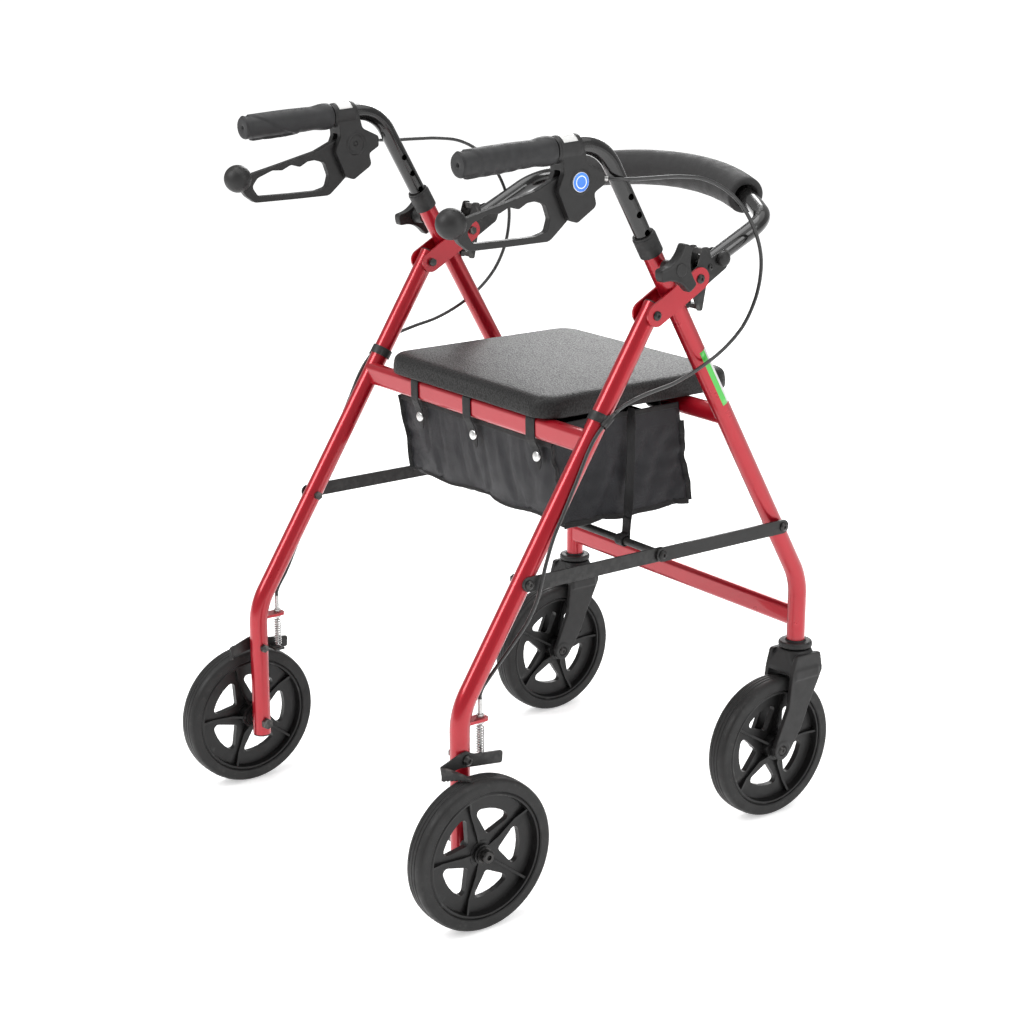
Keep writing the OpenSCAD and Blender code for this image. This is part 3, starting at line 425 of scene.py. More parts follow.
# ------------------------------------------------------------ mesh helpers
def place(name, verts, faces, mats, smooth=True, which=None):
    """A mesh object from points in millimetres."""
    me = bpy.data.meshes.new(name)
    me.from_pydata([tuple(c * MM for c in v) for v in verts], [], faces)
    me.validate()
    o = bpy.data.objects.new(name, me)
    scene.collection.objects.link(o)
    for m in mats if isinstance(mats, (list, tuple)) else [mats]:
        me.materials.append(m)
    for p in me.polygons:
        p.use_smooth = smooth
    if which is not None:
        for p, k in zip(me.polygons, which):
            p.material_index = k
    bm = bmesh.new()
    bm.from_mesh(me)
    bmesh.ops.recalc_face_normals(bm, faces=bm.faces)
    bm.to_mesh(me)
    bm.free()
    return o


def rings(loops, closed_ends=True, base=0):
    """Points and faces of a skin over a list of equal closed loops."""
    n = len(loops[0])
    verts = [tuple(p) for loop in loops for p in loop]
    faces = []
    for i in range(len(loops) - 1):
        for j in range(n):
            a, b = base + i * n + j, base + i * n + (j + 1) % n
            faces.append((a, b, b + n, a + n))
    if closed_ends:
        faces.append(tuple(base + j for j in range(n))[::-1])
        faces.append(tuple(base + (len(loops) - 1) * n + j for j in range(n)))
    return verts, faces


def catmull(points, k):
    p = [np.array(q, float) for q in points]
    out = []
    for i in range(len(p) - 1):
        a, b, c, d = p[max(0, i - 1)], p[i], p[i + 1], p[min(len(p) - 1, i + 2)]
        for j in range(k):
            t = j / k
            out.append(0.5 * (2 * b + (c - a) * t + (2 * a - 5 * b + 4 * c - d) * t * t + (3 * b - a - 3 * c + d) * t ** 3))
    out.append(p[-1])
    return out


def carried(points, first):
    """Tangents and two side directions carried along a line without twist."""
    p = [np.array(q, float) for q in points]
    tangents = [p[min(len(p) - 1, i + 1)] - p[max(0, i - 1)] for i in range(len(p))]
    tangents = [t / np.linalg.norm(t) for t in tangents]
    u = np.array(first, float)
    frames = []
    for t in tangents:
        u = u - t * (u @ t)
        u = u / np.linalg.norm(u)
        frames.append((t, u, np.cross(t, u)))
    return p, frames


def tube(points, radius, sides=14, first=(1, 0.02, 0.03), base=0):
    p, frames = carried(points, first)
    loops = []
    for i, (q, (t, u, v)) in enumerate(zip(p, frames)):
        r = radius[i] if isinstance(radius, (list, tuple)) else radius
        loops.append([q + r * (u * math.cos(a) + v * math.sin(a)) for a in (2 * math.pi * j / sides for j in range(sides))])
    return rings(loops, True, base)


def band(points, wide, width, thick, base=0, ends=None):
    """A flat strap with rounded edges. wide is the direction across it, one or one per point."""
    p, frames = carried(points, (0.3, 0.2, 0.1))
    loops = []
    for i, (q, (t, _, _)) in enumerate(zip(p, frames)):
        w = np.array(wide[i] if isinstance(wide, list) else wide, float)
        w = w - t * (w @ t)
        w /= np.linalg.norm(w)
        nrm = np.cross(t, w)
        half = (width[i] if isinstance(width, list) else width) / 2
        th = thick / 2
        section = [(-half, 0), (-half + 0.35 * th, 0.8 * th), (-half + 1.2 * th, th), (-half * 0.5, th), (0, th), (half * 0.5, th),
                   (half - 1.2 * th, th), (half - 0.35 * th, 0.8 * th), (half, 0), (half - 0.35 * th, -0.8 * th), (half - 1.2 * th, -th),
                   (half * 0.5, -th), (0, -th), (-half * 0.5, -th), (-half + 1.2 * th, -th), (-half + 0.35 * th, -0.8 * th)]
        loops.append([q + w * a + nrm * b for a, b in section])
    return rings(loops, True, base)


def lathe(profile, centre, axis, seg=40, base=0):
    """Turns (distance along axis, radius) pairs about the axis through centre."""
    t = np.array(axis, float)
    t /= np.linalg.norm(t)
    u = np.cross(t, (0.12, 0.34, 0.93))
    u /= np.linalg.norm(u)
    v = np.cross(t, u)
    c = np.array(centre, float)
    loops = [[c + t * s + r * (u * math.cos(a) + v * math.sin(a)) for a in (2 * math.pi * j / seg for j in range(seg))]
             for s, r in profile]
    return rings(loops, True, base)


def joined(parts):
    """Several (verts, faces, material index) as one."""
    verts, faces, which = [], [], []
    for v, f, k in parts:
        b = len(verts)
        verts += v
        faces += [tuple(i + b for i in g) for g in f]
        which += [k] * len(f)
    return verts, faces, which


def wobble(x, y, z, scale, seed=0.0):
    """Smooth repeatable noise from -1 to 1, from a few sines."""
    a = x * scale + seed
    b = y * scale * 1.13 + 1.7 * seed
    c = z * scale * 0.91 - 0.6 * seed
    return (math.sin(a + 1.3 * math.sin(b)) + math.sin(1.9 * b + 0.7 * c + 1.1 * math.sin(a * 0.7)) + math.sin(2.3 * c - a + seed)) / 3


def sub(o, levels):
    m = o.modifiers.new("subdivision", "SUBSURF")
    m.levels = m.render_levels = levels


# ------------------------------------------------------------ seat pad
def seat_pad():
    lo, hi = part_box("seat")
    x0, x1, y0, y1, z0, z1 = (c / MM for c in (lo[0], hi[0], lo[1], hi[1], lo[2], hi[2]))
    cx, cy, hx, hy = (x0 + x1) / 2, (y0 + y1) / 2, (x1 - x0) / 2, (y1 - y0) / 2
    corner = 34.0

    def outline(inset, z, pull=0.0):
        pts = []
        for qx, qy, a0 in ((1, 1, 0), (-1, 1, 90), (-1, -1, 180), (1, -1, 270)):
            r = max(3.0, corner - inset)
            ccx, ccy = qx * (hx - inset - r), qy * (hy - inset - r)
            for i in range(13):
                a = math.radians(a0 + 90 * i / 12)
                pts.append([ccx + r * math.cos(a), ccy + r * math.sin(a)])
        full = []
        for i in range(len(pts)):
            p, q = pts[i], pts[(i + 1) % len(pts)]
            full.append(p)
            d = math.dist(p, q)
            if d > 30:
                for k in range(1, 14):
                    f = k / 14
                    full.append([p[0] + (q[0] - p[0]) * f, p[1] + (q[1] - p[1]) * f])
        out = []
        for x, y in full:
            mx, my = abs(x) / hx, abs(y) / hy
            side = pull * (1 - min(1, min(mx, my) * 1.25) ** 2)
            n = Vector((x if mx > my * 1.0 else 0, y if my >= mx else 0))
            n = n.normalized() if n.length else n
            out.append((cx + x - n.x * side, cy + y - n.y * side, z))
        return out

    loops = [outline(12, z0 + 3.2), outline(5.4, z0 + 3.0), outline(4.2, z0 + 0.6), outline(2.6, z0 + 0.4, 0.3), outline(0.9, z0 + 1.6, 0.6),
             outline(0.2, z0 + 4.0, 1.2), outline(0.0, z0 + 8.0, 1.8), outline(0.3, z0 + 13.0, 1.9), outline(1.2, z0 + 17.5, 1.6)]
    for deg in (15, 30, 45, 60, 75):
        a = math.radians(deg)
        loops.append(outline(1.2 + 13.5 * (1 - math.cos(a)), z0 + 17.5 + 10.6 * math.sin(a), 1.2 * (1 - deg / 90)))
    ring = outline(15.5, z0 + 28.3)
    for s in (1.0, 0.985, 0.955, 0.91, 0.85, 0.77, 0.67, 0.55, 0.42, 0.28, 0.14, 0.05):
        loop = []
        for x, y, z in ring:
            px, py = cx + (x - cx) * s, cy + (y - cy) * s
            d = (1 - s) * min(hx, hy)
            rise = 1.9 * (1 - math.exp(-d / 34.0))
            dish = 0.9 * math.exp(-((px - cx) / 95) ** 2 - ((py - cy + 10) / 85) ** 2)
            loop.append((px, py, z + rise - dish + 0.22 * wobble(px, py, 0, 0.035, 2.0) * min(1.0, d / 20)))
        loops.append(loop)
    v, f = rings(loops)
    o = place("seat_pad", v, f, M["seat_pad"])
    sub(o, 1)
    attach(o, "seat")
    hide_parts("seat")

    # board under the foam, with its moulded lip
    loops = [outline(16, z0 + 0.6), outline(8.2, z0 + 0.6), outline(7.6, z0 + 1.1), outline(7.6, z0 + 3.0), outline(8.4, z0 + 3.4), outline(16, z0 + 3.4)]
    v, f = rings(loops)
    b = place("seat_board", v, f, M["black_plastic"])
    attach(b, "seat")


# ------------------------------------------------------------ grips
HV, GD = np.array((49.0, 952.5)), np.array((0.9982, -0.0599))
GUP = np.array((0.0599, 0.9982))


def smoothstep(a, b, x):
    t = max(0.0, min(1.0, (x - a) / (b - a)))
    return t * t * (3 - 2 * t)


def grip(side, k):
    lo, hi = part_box("grip_" + side)
    length = 132.0
    start = HV + 75.2 * GD
    xc = k * 248.0
    loops = []
    core = [(0, 12.5), (0.4, 15.2), (1.6, 16.9), (4, 17.5), (9, 17.9), (15, 17.6), (22, 16.5), (30, 15.3), (38, 14.7), (48, 14.9), (60, 15.3), (75, 15.5),
            (90, 15.5), (105, 15.4), (118, 15.4), (126, 15.6), (132, 15.6)]

    def base_r(s):
        for (a, ra), (b, rb) in zip(core, core[1:]):
            if s <= b:
                return ra + (rb - ra) * (s - a) / (b - a)
        return core[-1][1]

    stations = [0, 0.4, 1.0, 1.8, 3, 5] + [7 + 2.0 * i for i in range(56)] + [119, 121, 123, 124.6, 125.6, 126.4, 127.2, 128, 129.4, 130.6, 131.4, 131.9]
    seg = 72
    for s in stations:
        loop = []
        for j in range(seg):
            a = 2 * math.pi * j / seg          # 0 is up, 90 degrees is the outer side
            up, out = math.cos(a), math.sin(a)
            r = base_r(s)
            if s < 124.6:
                deg = math.degrees(a)
                # edge of the raised skin: close to the rear end on the outer side, a long sweep on the inner side
                inner = smoothstep(185, 200, deg) * (1 - smoothstep(352, 360, deg))
                sweep_edge = 124 - 62 * max(0.0, min(1.0, (360 - deg) / 150)) ** 1.25
                d_edge = 124 - 17 * max(0.0, math.sin(math.radians(min(180.0, deg)))) ** 0.6
                edge = sweep_edge * inner + d_edge * (1 - inner)
                skin = 1 - smoothstep(edge - 0.9, edge + 0.9, s)
                r += 1.5 * skin * smoothstep(24, 40, s)
                # shelf for the palm, low on the inner side
                shelf = smoothstep(52, 54, s) * (1 - smoothstep(edge - 6, edge, s)) * math.exp(-((deg - 205) / 26) ** 2)
                r += 2.6 * shelf * (0.5 + 0.5 * smoothstep(52, 80, s))
                # finger dips on the outer and lower side
                grip_side = max(0.0, 0.8 * out - 0.35 * up)
                r -= 1.35 * grip_side * (0.5 - 0.5 * math.cos((s - 42) / 17.0 * 2 * math.pi)) * smoothstep(40, 44, s) * (1 - smoothstep(108, 112, s))
            else:
                r = 14.6 + (0.5 if s < 131 else 0.0) - 0.8 * smoothstep(129.4, 131.9, s)
                r += 1.6 * math.exp(-((math.degrees(a) if a < math.pi else math.degrees(a) - 360) / 20) ** 2) * smoothstep(126, 131.4, s)
            c = start + GD * s * 1.0265
            loop.append((xc + k * out * r, c[0] + GUP[0] * up * r, c[1] + GUP[1] * up * r))
        loops.append(loop)
    # end face with its small centre hole
    c_end = start + GD * 135.5
    for rr, ds in ((12.6, 0.0), (8.0, -0.1), (3.6, -0.1), (2.9, -0.5), (2.6, -4.0)):
        loops.append([(xc + k * math.sin(2 * math.pi * j / seg) * rr, c_end[0] + GD[0] * ds + GUP[0] * math.cos(2 * math.pi * j / seg) * rr,
                       c_end[1] + GD[1] * ds + GUP[1] * math.cos(2 * math.pi * j / seg) * rr) for j in range(seg)])
    v, f = rings(loops)
    o = place("grip_sleeve_" + side, v, f, M["grip_foam"])
    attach(o, "handle_" + side)
    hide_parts("grip_" + side)


def curved_label(name, centre2, along2, up2, xc, radius, s0, s1, a0, a1, mat, body, thick=0.12, n=18, corner=1.2):
    """A thin film on a tube in the leg plane: s along it, a round it in degrees from up2 towards +X."""
    v, f = [], []
    m = 10
    for layer in (0, 1):
        r = radius + thick * layer
        for i in range(m + 1):
            for j in range(n + 1):
                a = math.radians(a0 + (a1 - a0) * j / n)
                s = s0 + (s1 - s0) * i / m
                c = centre2 + along2 * s
                v.append((xc + math.sin(a) * r, c[0] + up2[0] * math.cos(a) * r, c[1] + up2[1] * math.cos(a) * r))
    w = n + 1
    off = (m + 1) * w
    for i in range(m):
        for j in range(n):
            q = (i * w + j, i * w + j + 1, (i + 1) * w + j + 1, (i + 1) * w + j)
            f.append(tuple(x + off for x in q))
            f.append(q[::-1])
    rim = [j for j in range(n + 1)] + [i * w + n for i in range(1, m + 1)] + [m * w + j for j in range(n - 1, -1, -1)] + [i * w for i in range(m - 1, 0, -1)]
    for a, b in zip(rim, rim[1:] + rim[:1]):
        f.append((a, b, b + off, a + off))
    o = place(name, v, f, mat)
    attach(o, body)
    return o


# ------------------------------------------------------------ height knobs
def knob(side, k):
    lo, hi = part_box("height_knob_" + side)
    cy, cz = (lo[1] + hi[1]) / 2 / MM, (lo[2] + hi[2]) / 2 / MM
    centre = np.array((-18.1 - 0.5747 * (835.8 - 795.0), 795.0))
    turn = math.radians(-9)
    tips = []
    half_w, rt, rv = 7.6, 32.5, 12.2
    pts = []
    for t in range(3):
        a = turn + t * 2 * math.pi / 3
        u, w = np.array((math.cos(a), math.sin(a))), np.array((-math.sin(a), math.cos(a)))
        tip = [u * 29.0 - w * (half_w + 0.6), u * 31.6 - w * (half_w - 0.6), u * rt - w * (half_w - 3.0), u * (rt + 0.4), u * rt + w * (half_w - 3.0), u * 31.6 + w * (half_w - 0.6), u * 29.0 + w * (half_w + 0.6)]
        pts += tip
        b = a + 2 * math.pi / 3
        u2, w2 = np.array((math.cos(b), math.sin(b))), np.array((-math.sin(b), math.cos(b)))
        p0, p3 = u * 24.0 + w * (half_w + 0.9), u2 * 24.0 - w2 * (half_w + 0.9)
        mid = np.array((math.cos(a + math.pi / 3), math.sin(a + math.pi / 3))) * rv
        for i in range(1, 10):
            f = i / 10
            pts.append((1 - f) ** 2 * p0 + 2 * f * (1 - f) * mid + f * f * p3)
    n = len(pts)
    shape = np.array(pts)

    def loop(x, inset):
        out = []
        for i in range(n):
            p, q, r = shape[i - 1], shape[i], shape[(i + 1) % n]
            t = r - p
            t = t / (np.linalg.norm(t) + 1e-9)
            inn = np.array((-t[1], t[0]))
            c = q + inn * inset
            out.append((k * x, centre[0] + c[0], centre[1] + c[1]))
        return out

    loops = [loop(283.4, 3.2), loop(282.6, 2.2), loop(282.3, 1.0), loop(282.9, 0.35), loop(284.4, 0.0), loop(292.4, 0.1), loop(294.2, 0.5), loop(295.1, 1.3), loop(295.3, 2.4), loop(294.9, 4.0)]
    face = shape * 0.55
    loops.append([(k * 294.6, centre[0] + c[0], centre[1] + c[1]) for c in face])
    loops.append([(k * 295.0, centre[0] + c[0], centre[1] + c[1]) for c in shape * 0.25])
    v1, f1 = rings(loops)
    v2, f2 = lathe([(263.7, 6.0), (263.7, 8.6), (264.4, 9.4), (272, 10.0), (281, 11.2), (284, 12.0)], (0, centre[0], centre[1]), (k, 0, 0))
    v3, f3 = lathe([(294.2, 8.6), (295.4, 8.4), (295.9, 7.6), (296.0, 4.0), (296.0, 1.0)], (0, centre[0], centre[1]), (k, 0, 0))
    v4, f4 = lathe([(260.0, 3.6), (260.2, 3.9), (265, 4.0)], (0, centre[0], centre[1]), (k, 0, 0), 24)
    v, f, w = joined([(v1, f1, 0), (v2, f2, 0), (v3, f3, 0), (v4, f4, 1)])
    o = place("knob_star_" + side, v, f, [M["black_plastic"], M["zinc"]], which=w)
    e = o.modifiers.new("shading", "WEIGHTED_NORMAL")
    e.weight = 50
    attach(o, "height_knob_" + side)
    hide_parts("height_knob_" + side)


# ------------------------------------------------------------ backrest sleeve
BK = math.radians(154.36)


def back(x, y, z=0.0):
    return np.array((x, -100.0 + y * math.cos(BK) - z * math.sin(BK), 777.4 + y * math.sin(BK) + z * math.cos(BK)))


def sleeve():
    big_r, c, half = 437.0, -225.1, 170.0
    a1 = math.asin(half / big_r)
    total = 2 * a1 * big_r
    end = [(15.0, 11.25), (14.2, 14.4), (8.0, 15.0), (2.2, 15.5), (0.7, 16.3), (0.0, 18.0), (0.0, 21.0), (0.7, 22.9), (2.2, 24.0), (5.0, 24.5)]
    stations = [(s, r) for s, r in end] + [(5 + (total - 10) * i / 70, 24.5) for i in range(1, 70)] + [(total - s, r) for s, r in reversed(end)]
    loops = []
    for s, r in stations:
        th = -a1 + s / big_r
        centre = back(big_r * math.sin(th), c + big_r * math.cos(th))
        radial = back(math.sin(th), math.cos(th)) - back(0, 0)
        normal = back(0, 0, 1) - back(0, 0, 0)
        loop = []
        for j in range(56):
            a = 2 * math.pi * j / 56
            rr = r
            if r > 20:
                rr += 0.28 * wobble(centre[0], 40 * math.cos(a), 40 * math.sin(a), 0.03, 4.0) - 0.25 * max(0, -math.cos(a)) * (0.5 + 0.5 * math.sin(s * 0.16))
            loop.append(centre + rr * (radial * math.cos(a) + normal * math.sin(a)))
        loops.append(loop)
    v, f = rings(loops, False)
    n = 56
    last = (len(loops) - 1) * n
    o = place("backrest_sleeve", v, f, M["backrest_foam"])
    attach(o, "backrest")
    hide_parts("backrest_foam")


# ------------------------------------------------------------ bag
BAG_TOP, BAG_LOW = 566.0, 459.0


def bag_point(u, v, h):
    """u from -1 (right) to 1, v from 0 (front) to 1 (rear), h from 0 (floor of the bag) to 1 (rim)."""
    front = -168 + 18 * h
    rear = 44 + 19 * h
    return np.array((174.0 * u, front + (rear - front) * v, BAG_LOW + (BAG_TOP - BAG_LOW) * h))


# the side panels go on up to the seat: height, front edge and rear edge of each further row
RISE = [(567.6, -149.8, 53.2), (573.4, -149.0, 52.2), (579.5, -148.0, 52.0), (585.6, -146.8, 52.0), (591.4, -145.4, 52.0)]


def bag():
    nx, ny, nz = 48, 28, 16
    index, verts, faces = {}, [], []

    def vid(i, j, k):
        key = (i, j, k)
        if key not in index:
            index[key] = len(verts)
            if k > nz:
                z, front, rear = RISE[k - nz - 1]
                verts.append(np.array((174.0 * (2 * i / nx - 1), front + (rear - front) * j / ny, z)))
            else:
                verts.append(bag_point(2 * i / nx - 1, j / ny, k / nz))
        return index[key]

    for i in range(nx):
        for j in range(ny):
            faces.append((vid(i, j, 0), vid(i, j + 1, 0), vid(i + 1, j + 1, 0), vid(i + 1, j, 0)))
    for i in range(nx):
        for k in range(nz):
            for j, flip in ((0, False), (ny, True)):
                q = (vid(i, j, k), vid(i + 1, j, k), vid(i + 1, j, k + 1), vid(i, j, k + 1))
                faces.append(q[::-1] if flip else q)
    for j in range(ny):
        for k in range(nz + len(RISE)):
            for i, flip in ((0, True), (nx, False)):
                q = (vid(i, j, k), vid(i, j + 1, k), vid(i, j + 1, k + 1), vid(i, j, k + 1))
                faces.append(q[::-1] if flip else q)
    rest = np.array(verts)
    keys = list(index)
    pts = rest.copy()
    # start slightly crumpled so that the simulation picks folds
    for n, (i, j, k) in enumerate(keys):
        x, y, z = rest[n]
        depth = max(0.0, 4 * (k / nz) * (1 - k / nz))
        if i in (0, nx):
            s = 1 if i == nx else -1
            pts[n, 0] -= s * depth * (2.0 + 4.6 * wobble(0, y, z * 1.6, 0.075, 3.0 + s))
        if j in (0, ny):
            s = 1 if j == ny else -1
            pts[n, 1] += s * depth * 2.6 * wobble(x, 0, z * 2.0, 0.06, 1.0)
        if k == 0:
            pts[n, 2] -= 2.0 + 2.2 * wobble(x, y, 0, 0.05, 5.0)
    o = place("bag_shell", pts, faces, M["bag_fabric"])
    pin = o.vertex_groups.new(name="pin")
    for n, (i, j, k) in enumerate(keys):
        corner = i in (0, nx) and j in (0, ny)
        w = 1.0 if k >= nz else 0.85 if corner else 0.35 if (k == 0 and (i in (0, nx) or j in (0, ny))) else 0.0
        if w:
            pin.add([n], w, "REPLACE")
    c = o.modifiers.new("cloth", "CLOTH")
    st = c.settings
    st.quality = 6
    st.mass = 0.12
    st.tension_stiffness = st.compression_stiffness = 18
    st.shear_stiffness = 6
    st.bending_stiffness = 0.25
    st.air_damping = 3
    st.vertex_group_mass = "pin"
    st.pin_stiffness = 1.2
    st.shrink_min = -0.014
    c.point_cache.frame_start, c.point_cache.frame_end = 1, 26
    scene.frame_start, scene.frame_end = 1, 26
    for fr in range(1, 27):
        scene.frame_set(fr)
    dg = bpy.context.evaluated_depsgraph_get()
    ev = o.evaluated_get(dg)
    co = np.zeros(len(verts) * 3, np.float32)
    ev.data.vertices.foreach_get("co", co)
    moved = co.reshape(-1, 3).astype(float) / MM
    o.modifiers.remove(c)
    scene.frame_set(1)
    if np.isfinite(moved).all():
        delta = moved - rest
        far = np.linalg.norm(delta, axis=1, keepdims=True)
        pts = rest + delta * np.minimum(1.0, 12.0 / np.maximum(far, 1e-6))
    pts[:, 0] = np.clip(pts[:, 0], -175.6, 175.6)
    pts[:, 2] = np.maximum(pts[:, 2], 436.0)
    o.data.vertices.foreach_set("co", (pts * MM).astype(np.float32).ravel())
    o.data.update()

    # bound edges: the corners stand out as a taped seam
    def line(ks):
        return [pts[index[q]] for q in ks]

    parts = []

    def tape(ks, out_dirs, width=8.5, thick=2.2, shift=2.0, seed=0.0):
        raw = line(ks)
        p = catmull(raw[:: max(1, len(raw) // 24)] + ([raw[-1]] if (len(raw) - 1) % max(1, len(raw) // 24) else []), 4)
        m = len(p)
        dirs = [np.array(out_dirs[0]) * (1 - i / (m - 1)) + np.array(out_dirs[1]) * (i / (m - 1)) for i in range(m)]
        dirs = [d / np.linalg.norm(d) for d in dirs]
        p = [q + d * (shift + 0.7 * wobble(q[0], q[1], q[2], 0.05, seed)) for q, d in zip(p, dirs)]
        v, f = band(p, dirs, width, thick)
        parts.append((v, f, 0))

    for i, sx in ((0, -1), (nx, 1)):
        for j, sy in ((0, -1), (ny, 1)):
            tape([(i, j, k) for k in range(nz + 1)], [(sx * 0.45, sy * 1.0, 0)] * 2, 7.6, 2.2, 1.6, i + j)
        tape([(i, j, 0) for j in range(ny + 1)], [(sx * 0.35, 0, -1)] * 2, 8.4, 2.3, 1.6, i)
    for j, sy in ((0, -1), (ny, 1)):
        tape([(i, j, 0) for i in range(nx + 1)], [(0, sy * 0.35, -1)] * 2, 6.0, 1.8, 0.6, j)
        tape([(i, j, nz) for i in range(nx + 1)], [(0, 0, 1)] * 2, 8.0, 2.2, -2.6, j + 2)
    for i, sx in ((0, -1), (nx, 1)):
        tape([(i, j, nz + len(RISE)) for j in range(ny + 1)], [(0, 0, 1)] * 2, 8.0, 2.2, -2.6, i + 2)
    v, f, w = joined(parts)
    b = place("bag_binding", v, f, M["webbing"])
    s = o.modifiers.new("thick", "SOLIDIFY")
    s.thickness, s.offset = 0.0009, 0
    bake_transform(o)
    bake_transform(b)
    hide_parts("bag")

    # loops on the front bar
    parts = []
    for x in (-60.0, 0.0, 60.0):
        cy, cz, r = -161.7, 586.0, 13.55
        path = [(x, -150.5, 552.0), (x, -149.6, 566.0)] + [(x, cy + r * math.cos(a), cz + r * math.sin(a)) for a in
                [math.radians(-12 + 12 * i) for i in range(28)]] + [(x, -152.4, 570.0), (x, -151.6, 556.0)]
        v, f = band(catmull(path, 2), (1, 0, 0), 20.0, 1.2)
        parts.append((v, f, 0))
    v, f, w = joined(parts)
    front = place("bag_front_loops", v, f, M["webbing"])
    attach(front, "front_frame")

    # straps over the rear bar, with their snaps
    straps, snaps = [], []
    for n, x in enumerate((122.0, -1.5, -142.6)):
        lean = (-4.0, -7.0, -6.0)[n]
        path = [(x, 61.0, 556.0), (x, 56.2, 566.0), (x, 54.9, 573.0), (x, 54.8, 592.0), (x, 55.6, 597.2), (x, 59.0, 599.3), (x, 66.0, 599.6),
                (x, 71.5, 599.3), (x, 75.0, 597.0), (x, 75.8, 592.0), (x - 0.5, 75.9, 580.0), (x - 1.0, 75.9, 571.0), (x - 2.0, 74.6, 565.5),
                (x + lean * 0.5, 71.8, 559.0), (x + lean * 0.8, 69.8, 552.0), (x + lean, 68.6, 546.0), (x + lean * 1.2, 67.6, 539.0), (x + lean * 1.4, 67.0, 532.5), (x + lean * 1.5, 66.8, 529.0)]
        p = catmull(path, 4)
        widths = []
        for i in range(len(p)):
            left = len(p) - 1 - i
            widths.append(18.0 * (1.0 if left > 15 else 0.84 + 0.16 * (left - 10) / 5 if left > 10 else 0.12 + 0.72 * left / 10))
        v, f = band(p, (1, 0.05 * (n - 1), 0), widths, 1.3)
        straps.append((v, f, 0))
        c = (x + lean, 69.4, 546.5)
        axis = (-0.10, 1.0, 0.16)
        v, f = lathe([(-0.6, 6.6), (0.2, 7.3), (0.7, 7.1), (0.9, 6.3)], c, axis, 32)
        snaps.append((v, f, 0))
        v, f = lathe([(0.7, 6.0), (1.2, 6.2), (1.8, 5.9), (2.2, 5.0), (2.4, 3.4), (2.5, 1.4), (2.5, 0.3)], c, axis, 32)
        snaps.append((v, f, 0))
    v, f, w = joined(straps)
    rear = place("bag_rear_straps", v, f, M["webbing"])
    v, f, w = joined(snaps)
    studs = place("bag_snaps", v, f, M["snap"])
    for q in (rear, studs):
        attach(q, "rear_frame")
    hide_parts("bag_loops")


def fold_strap():
    xs = -185.0
    path = [(xs + 1, -58, 598.5), (xs + 1, -57.6, 580), (xs, -57.0, 550), (xs - 0.5, -56.0, 520), (xs - 1, -54.8, 495), (xs - 1, -53.6, 470), (xs - 0.5, -52.6, 450), (xs, -52.2, 438),
            (xs, -51.8, 430)]
    path += [(xs, -44.5 + 7.2 * math.cos(a), 422.5 + 7.2 * math.sin(a)) for a in [math.radians(170 + 14 * i) for i in range(22)]]
    path += [(xs, -50.0, 431.5), (xs, -50.8, 442.0), (xs, -51.4, 452.0)]
    p = catmull(path, 4)
    wides, widths = [], []
    for q in p:
        t = smoothstep(440, 500, q[2]) * (1 - smoothstep(560, 596, q[2]))
        a = math.radians(62) * t * (1 if q[2] > 0 else 0)
        wides.append((math.cos(a), math.sin(a), 0.0))
        widths.append(15.0 - 3.0 * t)
    v, f = band(p, wides, widths, 1.4)
    o = place("fold_webbing", v, f, M["webbing"])
    sub(o, 1)
    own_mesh(o)
    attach(o, "front_frame")
    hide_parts("fold_strap")


# ------------------------------------------------------------ brake cables
ROUTE = [(255.1, 43.7, 909.6), (257.6, 40, 909.2), (260.6, 34.2, 908.6), (262.4, 27, 908), (263.2, 15, 907.3), (263.4, 0, 906.6), (263.6, -30, 906),
         (264, -64, 904.5), (265, -100, 899), (267, -132, 885), (268.5, -160, 863), (270, -182, 832), (271, -194, 800), (271.5, -195, 770),
         (271, -187, 738), (270, -168, 706), (268, -138, 680), (266, -100, 660), (265, -60, 646), (264.2, -22, 639), (263.9, 10, 631.5),
         (263.9, 35.2, 620.6), (263.9, 60.2, 600.2), (263.9, 76, 579), (263.9, 92, 548), (264, 112, 510), (265, 130, 478), (268, 144, 448),
         (269.4, 152, 425), (268.8, 159, 402), (265, 172, 374), (258, 192, 344), (251, 212, 316), (248.4, 226, 298), (248, 230.5, 289), (248, 231, 283)]
CUTS = (0, 15, 21, len(ROUTE) - 1)
CABLE_R = 2.4


def cable(side, k):
    fine = catmull([(k * x, y, z) for x, y, z in ROUTE], 10)
    pieces = []
    for n, tag in enumerate(("upper", "middle", "lower")):
        seg = fine[CUTS[n] * 10: CUTS[n + 1] * 10 + 1]
        v, f = tube(seg, CABLE_R, 14)
        o = place(f"cable_{tag}_{side}", v, f, M["cable_sheath"])
        at = o.data.attributes.new("along", "FLOAT", "POINT")
        run, values = 0.0, []
        for i, q in enumerate(seg):
            run += float(np.linalg.norm(seg[i] - seg[i - 1])) * MM if i else 0.0
            values += [run] * 14
        at.data.foreach_set("value", values)
        pieces.append((o, seg, run))
    (a, sa, la), (b, sb, lb), (c, sc, lc) = pieces
    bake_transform(a)
    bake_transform(b)
    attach(c, "rear_frame")
    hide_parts("brake_cable_" + side)


def spring(side, k):
    cx, cy = k * 248.0, 231.0
    z0, z1, turns, seg = 208.4, 248.4, 12, 18
    path = [(cx, cy - 3.6, 204.0), (cx, cy - 4.2, 205.6)]
    for i in range(turns * seg + 1):
        a = 2 * math.pi * i / seg - math.pi / 2
        t = i / (turns * seg)
        r = 4.4 * (1 - 0.55 * (1 - smoothstep(0.0, 0.05, t)) - 0.55 * smoothstep(0.95, 1.0, t))
        path.append((cx + r * math.cos(a), cy + r * math.sin(a), z0 + (z1 - z0) * t))
    v, f = tube(path, 0.78, 8, (0, 0, 1))
    o = place("return_spring_" + side, v, f, M["zinc"])
    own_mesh(o)
    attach(o, "rear_frame")
    if k < 0:
        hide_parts("brake_springs")


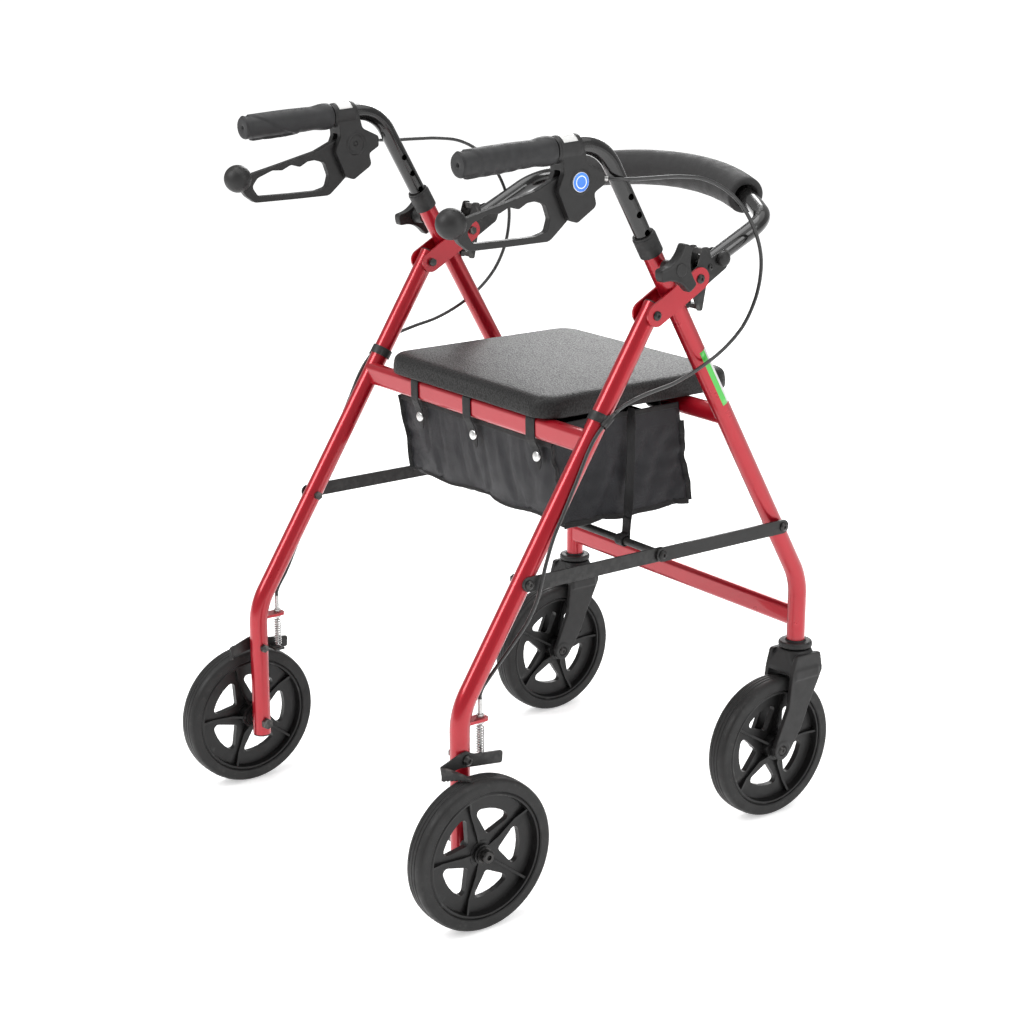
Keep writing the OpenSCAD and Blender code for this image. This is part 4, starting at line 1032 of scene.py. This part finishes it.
seat_pad()
for side, k in SIDES:
    grip(side, k)
    knob(side, k)
    cable(side, k)
    spring(side, k)
sleeve()
bag()
fold_strap()
for side, k in SIDES:
    curved_label("housing_label_" + side, HV + 56.5 * GD, GD, GUP, k * 248.0, 16.5, -10.5, 10.5, -58, 20, M["white_film"], "handle_" + side)
LEG_D = np.array((0.49828, 0.86702))
LEG_OUT = np.array((-0.86702, 0.49828))
curved_label("leg_label_white", np.array((-129.5, 642.0)), LEG_D, LEG_OUT, -248.0, 12.78, -43, 43, -68.6, -26, M["white_film"], "front_frame")
curved_label("leg_label_green", np.array((-129.5, 642.0)), LEG_D, LEG_OUT, -248.0, 12.78, -43, 43, -106, -69, M["green_film"], "front_frame")


# ------------------------------------------------------------ studio
def studio():
    me = bpy.data.meshes.new("floor")
    s = 60
    me.from_pydata([(-s, -s, 0), (s, -s, 0), (s, s, 0), (-s, s, 0)], [], [(0, 1, 2, 3)])
    floor = bpy.data.objects.new("floor", me)
    floor.location.z = -0.0004
    scene.collection.objects.link(floor)
    sh = Shader("floor", Roughness=0.9, Specular_IOR_Level=0.1, Emission_Strength=0.46)
    me.materials.append(sh.done(sh.mix(sh.noise(1.5, 2), (0.90, 0.90, 0.90), (0.92, 0.92, 0.92))))
    world = bpy.data.worlds.new("studio")
    scene.world = world
    world.use_nodes = True
    bg = world.node_tree.nodes["Background"]
    bg.inputs[0].default_value = (1, 1, 1, 1)
    bg.inputs[1].default_value = 0.40
    for name, at, size, power in (("key", (0.9, 3.0, 2.9), (1.6, 2.2), 80), ("fill", (-3.2, -1.2, 1.9), (1.2, 2.4), 38),
                                  ("top", (0.2, 0.0, 3.4), (2.4, 2.4), 36), ("rim", (2.6, -2.4, 2.2), (1.2, 2.2), 50)):
        data = bpy.data.lights.new(name, "AREA")
        data.shape, data.size, data.size_y, data.energy = "RECTANGLE", size[0], size[1], power
        o = bpy.data.objects.new(name, data)
        scene.collection.objects.link(o)
        o.location = at
        o.rotation_mode = "QUATERNION"
        o.rotation_quaternion = (Vector((0, 0, 0.45)) - Vector(at)).to_track_quat("-Z", "Y")
    sun = bpy.data.lights.new("sky", "SUN")
    sun.energy, sun.angle = 0.95, math.radians(70)
    so = bpy.data.objects.new("sky", sun)
    scene.collection.objects.link(so)
    so.rotation_euler = (math.radians(12), math.radians(-8), 0)
    scene.view_settings.view_transform = "Standard"
    scene.view_settings.look = "None"
    scene.view_settings.exposure = 0.0


studio()

bpy.context.view_layer.update()
